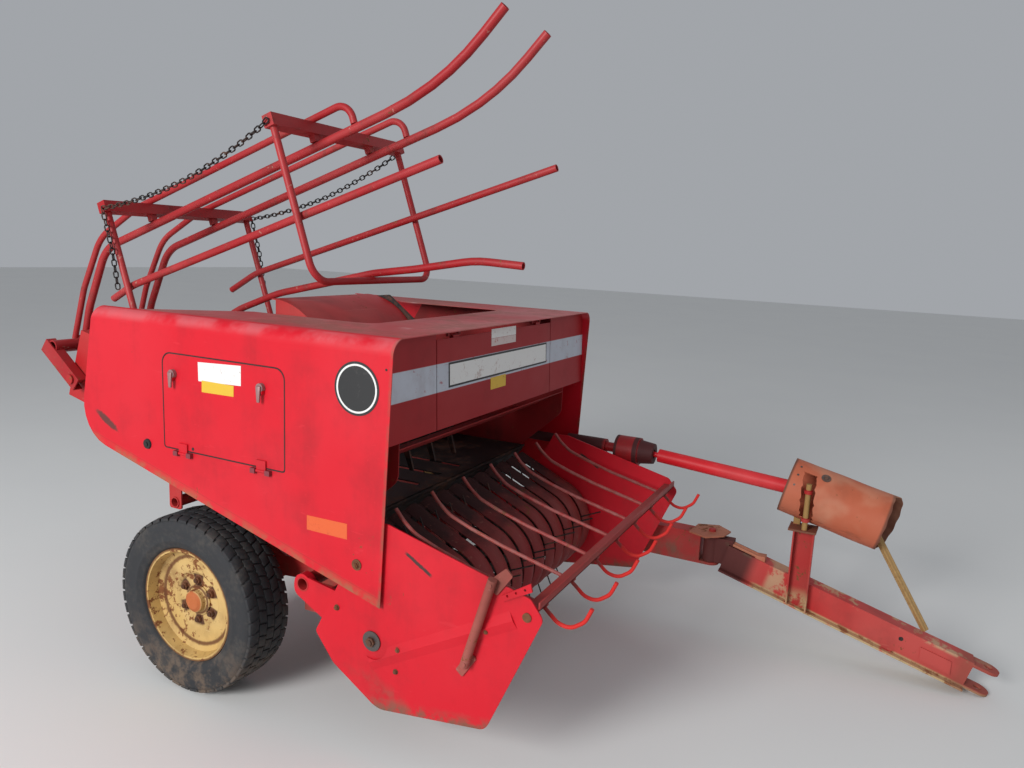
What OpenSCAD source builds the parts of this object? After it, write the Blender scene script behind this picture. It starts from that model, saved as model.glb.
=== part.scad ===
// Trailed square baler with a full-width pickup, a side drawbar and a bale chute
// folded forward over the body. X runs to the machine's left, Y to its rear.
// Lengths ahead of or behind the axle are first written from the axle at Y = 0,
// and place() then centres the whole machine over the origin.

/* [Body] */
// Outer width over the two side panels
body_w = 1580; // [1400:5:1800]
// Height of the cover above the ground
body_top = 1370; // [1250:5:1500]
// Thickness of the body sheets
sheet = 3; // [2:0.5:5]
// Outer radius of the bend between side panel and cover
bend_r = 50; // [25:1:80]
// Distance of the cover's front edge ahead of the axle
cover_front = 870; // [800:5:950]
// Distance of the side panels' upper rear corner behind the axle
side_rear = 460; // [400:5:520]
// Height of the side panel's lowest corner, at its front
side_low = 529; // [480:1:600]
// Rise of the side panel's lower edge, in degrees
side_rise = 14.5; // [8:0.5:20]
// Forward lean of the side panels' front edge, in degrees
front_lean = 2.2; // [0:0.1:5]
// Width of the flange along the side panel's lower edge
flange_w = 55; // [25:1:80]
// Distance of the front panel behind the cover's front edge
front_recess = 38; // [20:1:60]
// Height of the front panel
front_h = 321; // [250:5:400]
// Left edge of the front hatch from the middle
hatch_left = 412; // [400:1:560]
// Right edge of the front hatch from the middle
hatch_right = 495; // [400:1:560]
// Gap round the front hatch
hatch_gap = 5; // [5:0.5:10]
// Half width of the opening in the cover
mouth_half = 480; // [380:5:560]
// Distance of the opening's front edge ahead of the axle
mouth_front = 560; // [450:5:650]
// Length of the side door
door_l = 559; // [450:1:650]
// Height of the side door
door_h = 343; // [250:1:400]
// Height of the side door's lower edge
door_low = 897; // [850:1:950]
// Distance of the side door's middle ahead of the axle
door_mid = 178; // [120:1:240]
// Gap round the side door
door_gap = 5; // [5:0.5:8]

/* [Wheels] */
// Radius of the tyre
tyre_r = 330; // [300:1:380]
// Width of the tyre
tyre_w = 196; // [160:1:240]
// Distance of each wheel's middle from the machine's middle
wheel_x = 722; // [680:1:780]
// Radius of the rim's outer flange
rim_r = 210; // [190:1:230]
// Width of the rim
rim_w = 160; // [120:1:180]
// Number of wheel studs
studs = 6; // [4:1:8]
// Radius of the circle of studs
stud_circle = 75; // [60:1:95]
// Radius of the stub axle
stub_r = 22; // [16:1:30]

/* [Pickup] */
// Distance of the right pickup plate inside the right panel's outer face
pickup_in_right = 15; // [12:1:90]
// Distance of the left pickup plate inside the left panel's outer face
pickup_in_left = 140; // [130:1:190]
// Distance of the reel's axis ahead of the axle
reel_y = 800; // [760:1:860]
// Height of the reel's axis
reel_z = 405; // [380:1:440]
// Outer radius of the stripper bands
band_r = 200; // [170:1:230]
// Number of stripper bands
bands = 14; // [10:1:18]
// Gap between two bands
band_gap = 18; // [14:1:30]
// Crown of each band
band_crown = 14; // [6:1:20]
// Slope of the bands' straight ends, in degrees
band_slope = 24; // [15:1:32]
// Length of the bands' straight ends
band_tail = 268; // [200:1:285]
// Number of tine bars on the reel
tine_bars = 4; // [3:1:6]
// Reach of the tines from the reel's axis
tine_reach = 285; // [250:1:300]
// Radius of a tine wire
tine_r = 3; // [2:0.5:4]
// Distance of the pickup's pivot ahead of the axle
pivot_y = 497; // [470:1:520]
// Height of the pickup's pivot
pivot_z = 513; // [490:1:540]
// Outer radius of the pivot tube
pivot_r = 25; // [18:1:32]
// Distance of the wind guard's bar ahead of the axle
guard_y = 1345; // [1300:1:1380]
// Height of the wind guard's bar
guard_z = 650; // [620:1:690]
// Number of wind guard rods
guard_rods = 7; // [4:1:10]
// Distance of the last guard rod inside the left end of the bands
guard_in_left = 97; // [40:1:160]
// Distance of the first guard rod inside the right end of the bands
guard_in_right = 70; // [40:1:160]

/* [Drawbar] */
// Distance of the drawbar's middle inside the left panel's outer face
draw_in = 40; // [20:1:120]
// Distance of the drawbar's pivot ahead of the axle
draw_pivot_y = 1530; // [1480:5:1600]
// Height of the drawbar's middle at its pivot
draw_pivot_z = 368; // [320:1:400]
// Length of the drawbar from its pivot to its nose
draw_l = 1170; // [1000:5:1300]
// Width of the drawbar
draw_w = 80; // [60:1:100]
// Height of the drawbar
draw_h = 118; // [100:1:130]
// Height of the drawbar's mount
mount_h = 140; // [130:1:160]
// Wall of the drawbar's mount
draw_wall = 6; // [4:0.5:10]
// Radius of the hitch pin's hole
hitch_r = 16; // [12:0.5:20]
// Outer radius of the shaft guard
can_r = 118; // [100:1:135]
// Length of the shaft guard
can_l = 400; // [300:5:450]
// Radius of the drive shaft's tube
shaft_r = 30; // [22:1:38]

/* [Bale chute] */
// Slope of the folded chute, in degrees
chute_slope = 19.3; // [10:0.1:25]
// Radius of the main chute rods
chute_r = 15; // [12:1:24]
// Radius of the thin chute rods and hoops
hoop_r = 12; // [9:1:18]
// Side of the square cross beams
beam_w = 40; // [30:1:50]
// Length of the cross beams
beam_l = 714; // [600:1:760]
// Distance between the two cross beams
beam_pitch = 849; // [750:1:950]
// Distance from a cross beam's middle to its hoop's bottom
hoop_h = 523; // [450:1:560]
// Radius of the rods along the cage's sides
side_r = 13; // [9:1:16]
// Bend radius of the hoops
hoop_bend = 65; // [40:1:100]

/* [Bale chamber] */
// Middle of the bale chamber, to the right of the machine's middle
chamber_x = 370; // [340:1:400]
// Outer width of the bale chamber
chamber_w = 500; // [440:1:520]
// Height of the bale chamber's floor
chamber_low = 720; // [690:1:760]
// Outer height of the bale chamber
chamber_h = 290; // [260:5:330]
// Distance of the chamber's rear end behind the axle
chamber_rear = 870; // [800:5:880]
// Rise of the chamber's floor towards the rear, in degrees
chamber_rise = 12.6; // [8:0.1:16]
// Thickness of the chamber's plates
plate = 5; // [3:0.5:8]

/* [Hidden] */
$fn = 48;
arc_steps = 6;
pin_gap = 0.1;      // running clearance of a pin in its bore
run_gap = 6;        // clearance of moving pieces
seat_gap = 0.3;     // clearance between round pieces that rest on each other

body_half = body_w / 2;
inner_half = body_half - sheet;
cover_half = body_half - bend_r;
front_bottom_y = -cover_front + (body_top - side_low) * tan(front_lean);
front_y = -cover_front + front_recess;
front_top_z = body_top - sheet - run_gap;
deck_z = chamber_low - plate;
rail_x = 520;
rail_t = 8;
beam_y = 400;           // distance of the front frame beam ahead of the axle
beam_z = 360;
frame_side = 90;        // side of the axle beam and the front beam
axle_z = tyre_r;
draw_x = body_half - draw_in;
can_x = draw_x + 15;
can_at = [-1820, 712];  // y, z of the shaft guard's rear end
pickup_right = body_half - pickup_in_right;
pickup_left = body_half - pickup_in_left;
pto_room = 90;          // distance of the drive shaft beside the left pickup plate
pto_x = pickup_left + pto_room;
pto_z = 755;
clutch_y = 1240;        // distance of the clutch cone's front end ahead of the axle
ball_r = 20;            // ball joint between the cone and the drive tube
// The nose rests on the ground, which sets the drawbar's slope
lug_r = 40;
lug_t = 12;
lug_space = 84;         // clear space between the two hitch lugs
hitch_u = draw_l - 35;  // distance of the hitch pin from the drawbar's pivot
lug_out = lug_space / 2 + lug_t;
draw_drop = asin(draw_pivot_z / norm([hitch_u + lug_r, lug_out])) - atan(lug_out / (hitch_u + lug_r));
nose_y = draw_pivot_y + (hitch_u + lug_r) * cos(draw_drop) + lug_out * sin(draw_drop);
chute_root = [900, 1165];
chute_pivot = [785, 1045];  // y, z of the pins that the chute folds on
chute_pin_r = 12;
chute_tube_r = 26;
root_back = 75;         // reach of the chute's root plates behind their tube
mid_x = (can_x + can_r - wheel_x - tyre_w / 2) / 2;
mid_y = (chute_root[0] + root_back - nose_y) / 2;
// Height of the side panel's lower edge at a place behind the axle
function edge_z(y) = side_low + (y - front_bottom_y) * tan(side_rise);

module place() translate([-mid_x, -mid_y, 0]) children();

function unit(v) = v / norm(v);
// Points of a round corner at b, between the edges to a and to c
function corner_arc(a, b, c, r, steps = arc_steps) =
    let (u = unit(a - b), v = unit(c - b), half = acos(u * v) / 2,
        centre = b + unit(u + v) * r / sin(half),
        start = b + u * r / tan(half) - centre,
        from = atan2(start[1], start[0]),
        turn = (u[0] * v[1] - u[1] * v[0] < 0 ? 1 : -1) * (180 - 2 * half))
    [for (i = [0 : steps]) centre + r * [cos(from + turn * i / steps), sin(from + turn * i / steps)]];
// Outline from rows of [first, second, corner radius]
function rounded(rows) = let (n = len(rows)) [for (i = [0 : n - 1])
    let (a = rows[(i + n - 1) % n], b = rows[i], c = rows[(i + 1) % n])
    each b[2] > 0 ? corner_arc([a[0], a[1]], [b[0], b[1]], [c[0], c[1]], b[2]) : [[b[0], b[1]]]];

// Turns a flat shape so that its first axis is Y, its second Z and its height X
module upright() rotate([90, 0, 90]) children();
// Plate in a YZ plane from x to x + t, from rows of [y, z, corner radius]
module side_plate(rows, x, t) translate([x, 0, 0]) upright() linear_extrude(t) polygon(rounded(rows));
// Round bar along X between two x places
module bar_x(x0, x1, y, z, r) translate([x0, y, z]) rotate([0, 90, 0]) cylinder(r = r, h = x1 - x0);
// Round tube along X, open at both ends
module tube_x(x0, x1, y, z, r, wall) translate([x0, y, z]) rotate([0, 90, 0]) difference() {
    cylinder(r = r, h = x1 - x0);
    translate([0, 0, -1]) cylinder(r = r - wall, h = x1 - x0 + 2);
}

// Length that a bend takes off each straight beside it
function bend_cut(p, i, bend) = let (u = unit(p[i - 1] - p[i]), v = unit(p[i + 1] - p[i]))
    bend / tan(acos(u * v) / 2);
// Rod in the XY plane through corner points, with every corner bent to one radius
module bent_rod(p, bend, r) {
    last = len(p) - 1;
    for (i = [0 : last - 1]) {
        run = p[i + 1] - p[i];
        lead = i == 0 ? 0 : bend_cut(p, i, bend);
        tail = i == last - 1 ? 0 : bend_cut(p, i + 1, bend);
        from = p[i] + unit(run) * lead;
        translate([from[0], from[1], 0]) rotate([0, 0, atan2(run[1], run[0])]) rotate([0, 90, 0])
            cylinder(r = r, h = norm(run) - lead - tail);
    }
    for (i = [1 : last - 1]) {
        u = unit(p[i - 1] - p[i]);
        v = unit(p[i + 1] - p[i]);
        half = acos(u * v) / 2;
        centre = p[i] + unit(u + v) * bend / sin(half);
        start = p[i] + u * bend / tan(half) - centre;
        end = p[i] + v * bend / tan(half) - centre;
        first = u[0] * v[1] - u[1] * v[0] < 0 ? start : end;
        translate([centre[0], centre[1], 0]) rotate([0, 0, atan2(first[1], first[0])])
            rotate_extrude(angle = 180 - 2 * half) translate([bend, 0]) circle(r);
    }
}

// Corner points with every corner bent to one radius, a point each 18 degrees or so
function bend_steps(p, i) = max(1, round(acos(unit(p[i] - p[i - 1]) * unit(p[i + 1] - p[i])) / 18));
function bend_points(p, bend) = let (last = len(p) - 1) [p[0], for (i = [1 : last - 1])
    each corner_arc(p[i - 1], p[i], p[i + 1], bend, bend_steps(p, i)), p[last]];
function side_of(p, i) = let (run = unit(p[i + 1] - p[i])) [-run[1], run[0]];
// Long rod or chain in the XY plane with many bends, swept ring by ring
module swept_rod(p, bend, r, sides = 10) {
    q = bend_points(p, bend);
    last = len(q) - 1;
    points = [for (i = [0 : last]) let (a = side_of(q, max(i - 1, 0)), b = side_of(q, min(i, last - 1)),
            n = unit(a + b) / (unit(a + b) * a))
        for (k = [0 : sides - 1]) [q[i][0] + n[0] * r * cos(k * 360 / sides),
            q[i][1] + n[1] * r * cos(k * 360 / sides), r * sin(k * 360 / sides)]];
    polyhedron(points, concat([[for (k = [0 : sides - 1]) k],
        [for (k = [sides - 1 : -1 : 0]) last * sides + k]],
        [for (i = [0 : last - 1]) for (k = [0 : sides - 1]) let (next = (k + 1) % sides)
            [i * sides + k, (i + 1) * sides + k, (i + 1) * sides + next, i * sides + next]]));
}

// Outline of a side panel, rows of [y, z, corner radius]
rear_slope = 0.195;
rear_low_y = (side_rear + (body_top - side_low + front_bottom_y * tan(side_rise)) * rear_slope)
    / (1 + tan(side_rise) * rear_slope);
rear_low_z = side_low + (rear_low_y - front_bottom_y) * tan(side_rise);
side_rows = [[front_bottom_y, side_low, 0], [rear_low_y, rear_low_z, 150], [side_rear, body_top, 0],
    [-cover_front, body_top, 0]];
door_rows = [[-door_mid - door_l / 2, door_low, 12], [-door_mid + door_l / 2, door_low, 12],
    [-door_mid + door_l / 2, door_low + door_h, 40], [-door_mid - door_l / 2, door_low + door_h, 40]];
flange_from = -590;     // front end of the lower flange

// Right side panel: flat sheet, bend to the cover and flange at the lower edge
module panel_sheet() {
    intersection() {
        translate([0, side_rear + 200, 0]) rotate([90, 0, 0])
            linear_extrude(side_rear + cover_front + 300)
            difference() {
                union() {
                    translate([-body_half, 400]) square([bend_r, body_top - bend_r - 400]);
                    intersection() {
                        translate([-body_half + bend_r, body_top - bend_r]) circle(bend_r);
                        translate([-body_half, body_top - bend_r]) square(bend_r);
                    }
                }
                translate([-inner_half, 399]) square([bend_r, body_top - bend_r - 399]);
                translate([-body_half + bend_r, body_top - bend_r]) circle(bend_r - sheet);
            }
        side_plate(side_rows, -body_half - 1, bend_r + 2);
    }
    translate([-inner_half, flange_from, side_low + (flange_from - front_bottom_y) * tan(side_rise)])
        rotate([side_rise, 0, 0])
            cube([flange_w - sheet, (rear_low_y - 150 - flange_from) / cos(side_rise), sheet]);
}

module side_panel_right() color("firebrick") place() difference() {
    panel_sheet();
    side_plate(door_rows, -body_half - 1, sheet + 2);
}

module side_panel_left() color("firebrick") place() mirror([1, 0, 0]) panel_sheet();

// Side door, hinged along its lower edge on a rod outside the panel
hinge_rod_r = 3;
knuckle_r = 5;
knuckle_l = 40;
door_axis = [-body_half - knuckle_r - 0.5, door_low - 8];   // x, z of the door's hinge
door_hinges = [-door_mid - 180, -door_mid + 180];           // places of its knuckles
door_in = [for (row = door_rows) [row[0] + (row[0] < -door_mid ? door_gap : -door_gap),
    row[1] + (row[1] < door_low + 1 ? door_gap : -door_gap), row[2] - 3]];
// Round bar along Y between two y places
module bar_y(y0, y1, x, z, r) translate([x, y1, z]) rotate([90, 0, 0]) cylinder(r = r, h = y1 - y0);
module side_door() color("firebrick") place() {
    side_plate(door_in, -body_half, sheet);
    for (y = [49, -360]) bar_x(-body_half - 12, -body_half, y, 1154, 12);
    difference() {
        for (y = door_hinges) {
            bar_y(y - knuckle_l / 2, y + knuckle_l / 2, door_axis[0], door_axis[1], knuckle_r);
            translate([-body_half - 6, y - knuckle_l / 2, door_axis[1]]) cube([5.5, knuckle_l, 36]);
            translate([-body_half - 1, y - knuckle_l / 2, door_low + 8]) cube([1, knuckle_l, 20]);
        }
        bar_y(door_hinges[0] - knuckle_l, door_hinges[1] + knuckle_l, door_axis[0], door_axis[1],
            hinge_rod_r + pin_gap);
    }
}
module door_hinge() color("maroon") place() for (y = door_hinges) {
    bar_y(y - knuckle_l / 2 - 22, y + knuckle_l / 2 + 22, door_axis[0], door_axis[1], hinge_rod_r);
    for (side = [-1, 1])
        translate([-body_half - 13, y + side * (knuckle_l / 2 + 12) - 10, door_axis[1] - 10])
        cube([13, 20, 17]);
}

// Room inside the bent shell, which the front panels fill
module shell_room() translate([0, side_rear, 0]) rotate([90, 0, 0])
    linear_extrude(side_rear + cover_front) {
    translate([-inner_half, 0]) square([2 * inner_half, body_top - bend_r]);
    translate([-cover_half, 0]) square([2 * cover_half, body_top - sheet]);
    for (side = [-1, 1]) translate([side * cover_half, body_top - bend_r])
        circle(bend_r - sheet - seat_gap);
}

// Cover with the mouth over the ram, cut off at a slant behind it
cover_rear = 290;
mouth_rear = 20;
module top_cover() color("indianred") place() translate([0, 0, body_top - sheet]) linear_extrude(sheet)
    polygon(rounded([[-cover_half, -cover_front, 0], [cover_half, -cover_front, 0],
        [cover_half, cover_rear, 0],
        [mouth_half, -mouth_rear, 0], [mouth_half, -mouth_front, 60], [-mouth_half, -mouth_front, 60],
        [-mouth_half, -mouth_rear, 0], [-cover_half, cover_rear, 0]]));

// One section of the front panel between two x places, from a depth below its top
module front_section(x0, x1, top) translate([x0, front_y, front_top_z]) rotate([-front_lean, 0, 0]) {
    translate([0, 0, -front_h]) cube([x1 - x0, sheet, front_h - top]);
    translate([0, 0, -front_h]) cube([x1 - x0, 22, sheet]);
}
hatch_axis = [front_y + sheet + 10, front_top_z - 12];  // y, z of the hatch's hinge behind its sheet
hatch_hinges = [-370, 290];
hatch_lug = 4;              // half depth of the lugs that carry the hinge's rod
module front_panel_right() color("maroon") place() intersection() {
    front_section(-inner_half, -hatch_right - hatch_gap, 0);
    shell_room();
}
module front_panel_left() color("maroon") place() intersection() {
    front_section(hatch_left + hatch_gap, inner_half, 0);
    shell_room();
}
module front_hatch() color("maroon") place() {
    front_section(-hatch_right, hatch_left, 20);
    for (x = hatch_hinges) difference() {
        union() {
            bar_x(x - knuckle_l / 2, x + knuckle_l / 2, hatch_axis[0], hatch_axis[1], knuckle_r);
            translate([x - knuckle_l / 2, front_y + 1, hatch_axis[1] - 34])
                cube([knuckle_l, hatch_axis[0] - front_y + 2, 34]);
        }
        bar_x(x - knuckle_l, x + knuckle_l, hatch_axis[0], hatch_axis[1], hinge_rod_r + pin_gap);
    }
}
// Rod of the hatch's hinge, hung from the cover on two lugs at each knuckle
module hatch_hinge() color("maroon") place() for (x = hatch_hinges) {
    bar_x(x - knuckle_l / 2 - 22, x + knuckle_l / 2 + 22, hatch_axis[0], hatch_axis[1], hinge_rod_r);
    for (side = [-1, 1]) translate([x + side * (knuckle_l / 2 + 14) - 8, hatch_axis[0] - hatch_lug,
        hatch_axis[1] - hatch_lug])
            cube([16, 2 * hatch_lug, body_top - sheet - hatch_axis[1] + hatch_lug]);
}

// Sloping sheet that leads the crop under the front panel
module feed_hood() color("maroon") place()
    side_plate([[front_y + 26, 1000, 0], [-610, 895, 30], [-560, 900, 0],
    [-560, 904, 0], [-610, 899, 30], [front_y + 26, 1004, 0]], -wall_x + wall_t, 2 * (wall_x - wall_t));

// Upright wall beside the crop's way, below the cover
wall_room = 130;        // distance of the walls inside the panels' outer faces
wall_x = body_half - wall_room;
wall_t = 4;
wall_rows = [[-600, deck_z, 0], [190, deck_z, 0], [190, 1000, 80], [-30, body_top - sheet, 0],
    [front_y + 26, body_top - sheet, 0], [front_y + 26, 900, 60]];
module inner_wall_right() color("firebrick") place() side_plate(wall_rows, -wall_x, wall_t);
module inner_wall_left() color("firebrick") place() side_plate(wall_rows, wall_x - wall_t, wall_t);

// Floor between the pickup and the chamber, with slots for the packer fork
deck_front = 626;
deck_rear = 250;
chamber_left = -chamber_x + chamber_w / 2;
chamber_right = -chamber_x - chamber_w / 2;
fork_x = [-160, 0, 160];
module intake_deck() color("dimgray") place() difference() {
    translate([0, 0, deck_z]) linear_extrude(plate) polygon([[-wall_x + wall_t, -deck_front],
        [wall_x - wall_t, -deck_front], [wall_x - wall_t, 190 - plate], [chamber_left, 190 - plate],
        [chamber_left, -deck_rear], [-wall_x + wall_t, -deck_rear]]);
    for (x = fork_x) translate([x - 16, -560, deck_z - 1]) cube([32, 270, plate + 2]);
}

// Bale chamber, rising to the rear and open at both ends, with slots in its sides and its roof
chamber_lean = 97;      // distance of the rear end's upper corner ahead of its lower one
chamber_slots = [90, 195];
slot_from = 460;        // distance along the floor of the slots' front ends
slot_l = 520;
roof_h = chamber_h / cos(chamber_rise);
wall_z = plate / cos(chamber_rise);
// Height of the chamber's underside at a place behind the axle
function chamber_z(y) = deck_z + (y + deck_rear) * tan(chamber_rise);
module in_chamber() translate([0, -deck_rear, deck_z]) rotate([chamber_rise, 0, 0]) children();
chamber_top_y = chamber_rear - chamber_lean;
chamber_rows = [[-deck_rear, deck_z, 0], [chamber_rear, chamber_z(chamber_rear), 0],
    [chamber_top_y, chamber_z(chamber_top_y) + roof_h, 0], [-deck_rear, deck_z + roof_h, 0]];
module bale_chamber() color("firebrick") place() difference() {
    side_plate(chamber_rows, chamber_right, chamber_w);
    side_plate([for (y = [-deck_rear - 1, chamber_rear + 1]) [y, chamber_z(y) + wall_z, 0],
        for (y = [chamber_rear + 1, -deck_rear - 1]) [y, chamber_z(y) + roof_h - wall_z, 0]],
        chamber_right + plate, chamber_w - 2 * plate);
    in_chamber() {
        for (v = chamber_slots) translate([chamber_right - 1, slot_from, v])
            cube([chamber_w + 2, slot_l, 26]);
        for (x = [-90, 90]) translate([-chamber_x + x - 14, slot_from, chamber_h - plate - 1])
            cube([28, slot_l, plate + 2]);
    }
}

// Curved shield over the ram, on ribs that stand on the chamber
shield_at = [-80, 1138];
shield_r = 284;
shield_ribs = [-245, -100];     // front and rear edge of its ribs
module ram_shield() color("firebrick") place() {
    translate([-450, shield_at[0], shield_at[1]]) upright() linear_extrude(580) difference() {
        circle(shield_r);
        circle(shield_r - 4);
        translate([-400, -401]) square([800, 401]);
        translate([0, -1]) square(400);
    }
    for (x = [-450, -160]) translate([x, 0, 0]) upright() linear_extrude(6) intersection() {
        translate(shield_at) circle(shield_r - 2);
        polygon([[shield_ribs[0], chamber_z(shield_ribs[0]) + roof_h],
            [shield_ribs[1], chamber_z(shield_ribs[1]) + roof_h],
            [shield_ribs[1], body_top + 60], [shield_ribs[0], body_top + 60]]);
    }
    bar_x(-458, -450, shield_at[0] - shield_r + 12, shield_at[1] + 14, 12);
}

// Sheet that closes the body behind the drive
module rear_panel() color("firebrick") place() translate([chamber_left, 190 - plate, deck_z])
    cube([wall_x - wall_t - chamber_left, plate, 285]);

// Main gearbox as one block, and the side box that the drive shaft enters
gear_gap = 7;
gear_w = wall_room - sheet - gear_gap;
gear_from = 390;        // x of the block's inner face
module gearbox() color("dimgray") place() {
    translate([gear_from, -230, chamber_low]) cube([wall_x - wall_t - run_gap - gear_from, 280, 250]);
    translate([wall_x, -440, pto_z - 54]) cube([gear_w, 240, 164]);
}

// Drive shaft with its bearing sleeve, clutch barrel and cone ahead of the body
module drive_clutch() color("maroon") place() translate([pto_x, 0, pto_z])
    rotate([90, 0, 0]) difference() {
    union() {
        translate([0, 0, 440]) cylinder(r = 22, h = clutch_y - 460);
        translate([0, 0, 817]) cylinder(r = 35, h = 193);
        translate([0, 0, 1063]) cylinder(r = 63, h = 110);
        translate([0, 0, 1173]) cylinder(r1 = 55, r2 = 46, h = clutch_y - 1173);
    }
    translate([0, 0, clutch_y - 2 * ball_r]) cylinder(r = ball_r + seat_gap, h = 2 * ball_r + 1);
}

// Packer shaft with three curved tines over the deck
module packer_fork() color("#333333") place() {
    bar_x(-wall_x + wall_t, wall_x - wall_t, -470, 1180, 18);
    for (x = fork_x) side_plate([[-481, 1173, 0], [-459, 1173, 0], [-430, 980, 60], [-518, 770, 4],
        [-536, 770, 4],
        [-470, 985, 40]], x - 5, 10);
    side_plate([[-80, 1412, 12], [-185, 1425, 20], [-500, 1195, 25], [-450, 1150, 20]], 134, 16);
}

// Axle beam with its two stub axles
module axle_beam() color("firebrick") place() {
    translate([-rail_x - 60, -frame_side / 2, axle_z - frame_side / 2])
        cube([2 * rail_x + 120, frame_side, frame_side]);
    for (side = [-1, 1]) translate([side * (rail_x + 60), 0, axle_z]) rotate([0, side * 90, 0])
        cylinder(r = stub_r, h = wheel_x + stub_reach - rail_x - 60);
}

// Frame plate between the axle, the front beam, the pickup's tube and the chamber
cross_at = [84, 690];
cross_r = 20;
reel_room = 16;         // room between the reel's circle and the plates' front edges
function rail_rows(rear_top) = [[-beam_y - frame_side / 2, beam_z + frame_side / 2, 0],
    [-beam_y + frame_side / 2, beam_z + frame_side / 2, 0], [-frame_side / 2, axle_z + frame_side / 2, 0],
    [frame_side / 2, axle_z + frame_side / 2, 0], [190, 600, 60], [190, rear_top, 0],
        [-deck_rear, deck_z, 0],
    [-beam_y - frame_side / 2, deck_z, 20], [-pivot_y - 45, pivot_z + 40, 20],
        [-pivot_y - 45, pivot_z - 35, 30]];
module rail(x, rear_top) difference() {
    side_plate(rail_rows(rear_top), x - rail_t / 2, rail_t);
    bar_x(x - rail_t, x + rail_t, -215, 540, 70);
    bar_x(x - rail_t, x + rail_t, -pivot_y, pivot_z, pivot_r + seat_gap);
    bar_x(x - rail_t, x + rail_t, cross_at[0], cross_at[1], cross_r + seat_gap);
    bar_x(x - rail_t, x + rail_t, -reel_y, reel_z, tine_reach + reel_room);
}
module frame_rail_right() color("firebrick") place() rail(-rail_x, chamber_z(190));
module frame_rail_left() color("firebrick") place() rail(rail_x, deck_z);

// Cross beam of the frame, which carries the drawbar's mount
module front_beam() color("firebrick") place()
    translate([-rail_x - 60, -beam_y - frame_side / 2, beam_z - frame_side / 2])
    cube([rail_x + 60 + draw_x - draw_w / 2, frame_side, frame_side]);

// Tube under the chamber with a tab to each side panel
module cross_tube() color("firebrick") place() {
    tube_x(22 - body_half, body_half - 22, cross_at[0], cross_at[1], cross_r, 4);
    for (x = [-body_half + 26, body_half - 32]) difference() {
        side_plate([[cross_at[0] - 30, cross_at[1] - 24, 10], [cross_at[0] + 30, cross_at[1] - 24, 10],
            [cross_at[0] + 30, edge_z(cross_at[0] + 30), 0],
                [cross_at[0] - 30, edge_z(cross_at[0] - 30), 0]], x, 6);
        bar_x(x - 1, x + 7, cross_at[0], cross_at[1], cross_r - 2);
    }
}

// Tube that the pickup hangs on
module pickup_pivot_tube() color("firebrick") place()
    tube_x(-pickup_right + plate_t + arm_in - 1, pickup_left - plate_t - arm_in + 1, -pivot_y, pivot_z,
        pivot_r, 5);

// Fixed box beam beside the pickup with the two eye plates of the drawbar's pivot
draw_pin_r = 15;
draw_eye_r = 45;
module eye_plate(r, t, back) difference() {
    linear_extrude(t) union() {
        circle(r);
        translate([-draw_w / 2, 0]) square([draw_w, back]);
    }
    translate([0, 0, -1]) cylinder(r = draw_pin_r + pin_gap, h = t + 2);
}
mount_from = 42;            // distance of the mount's box behind the pivot
module drawbar_mount() color("firebrick") place() {
    difference() {
        translate([draw_x - draw_w / 2, -draw_pivot_y + mount_from, draw_pivot_z - mount_h / 2])
            cube([draw_w, draw_pivot_y - mount_from - beam_y + frame_side / 2, mount_h]);
        translate([draw_x - draw_w / 2 + draw_wall, -draw_pivot_y + mount_from + 12,
            draw_pivot_z - mount_h / 2 + draw_wall])
            cube([draw_w - 2 * draw_wall, draw_pivot_y, mount_h - 2 * draw_wall]);
    }
    for (z = [-mount_h / 2, mount_h / 2 - lug_t]) translate([draw_x, -draw_pivot_y, draw_pivot_z + z])
        eye_plate(draw_w / 2, lug_t, mount_from + 1);
    translate([draw_x, -draw_pivot_y, draw_pivot_z - mount_h / 2 - 6]) {
        cylinder(r = draw_pin_r + 9, h = 6);
        cylinder(r = draw_pin_r, h = mount_h + 24);
    }
}

// Pins on the chamber's sides that the chute folds on
arm_gap = 6;            // clearance between the chamber and the chute's arms
arm_w = 40;
arm_wall = 5;
module chute_hinge() color("firebrick") place() for (side = [-1, 1])
    translate([-chamber_x + side * chamber_w / 2, chute_pivot[0], chute_pivot[1]])
        rotate([0, side * 90, 0]) {
        cylinder(r = chute_pin_r + 12, h = arm_gap - 1);
        cylinder(r = chute_pin_r, h = arm_gap + arm_w + 8);
        translate([0, 0, arm_gap + arm_w + 2]) cylinder(r = chute_pin_r + 7, h = 6);
    }
// Angle bars along the chamber's sides that set the bale's density
tension_from = 505;     // distance along the floor of the angle bars' front ends
tension_v = 130;        // height of the angle bars over the chamber's underside
tension_l = 335;
module tension_bars() color("firebrick") place() for (side = [-1, 1])
    translate([-chamber_x + side * chamber_w / 2, 0, 0]) mirror([side < 0 ? 1 : 0, 0, 0]) in_chamber() {
        translate([0, tension_from, tension_v]) cube([5, tension_l, 45]);
        translate([0, tension_from, tension_v + 40]) cube([40, tension_l, 5]);
    }

// Tyre shell, rows of [radius, place across, corner radius]
bead = rim_r - 8 + seat_gap;
tyre_rows = [[bead, -62, 0], [bead, -68, 0], [rim_r + 1, -74, 0], [rim_r + 4, -84, 0],
    [rim_r + 34, -tyre_w / 2, 20],
    [tyre_r - 34, -tyre_w / 2, 24], [tyre_r, -tyre_w / 2 + 14, 12], [tyre_r, tyre_w / 2 - 14, 12],
        [tyre_r - 34, tyre_w / 2, 24],
    [rim_r + 34, tyre_w / 2, 20], [rim_r + 4, 84, 0], [rim_r + 1, 74, 0], [bead, 68, 0], [bead, 62, 0],
        [rim_r + 20, 66, 0],
    [tyre_r - 30, 80, 20], [tyre_r - 16, 60, 10], [tyre_r - 16, -60, 10], [tyre_r - 30, -80, 20],
        [rim_r + 20, -66, 0]];
module tyre() rotate([0, 90, 0]) rotate_extrude($fn = 96) polygon(rounded(tyre_rows));
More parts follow.
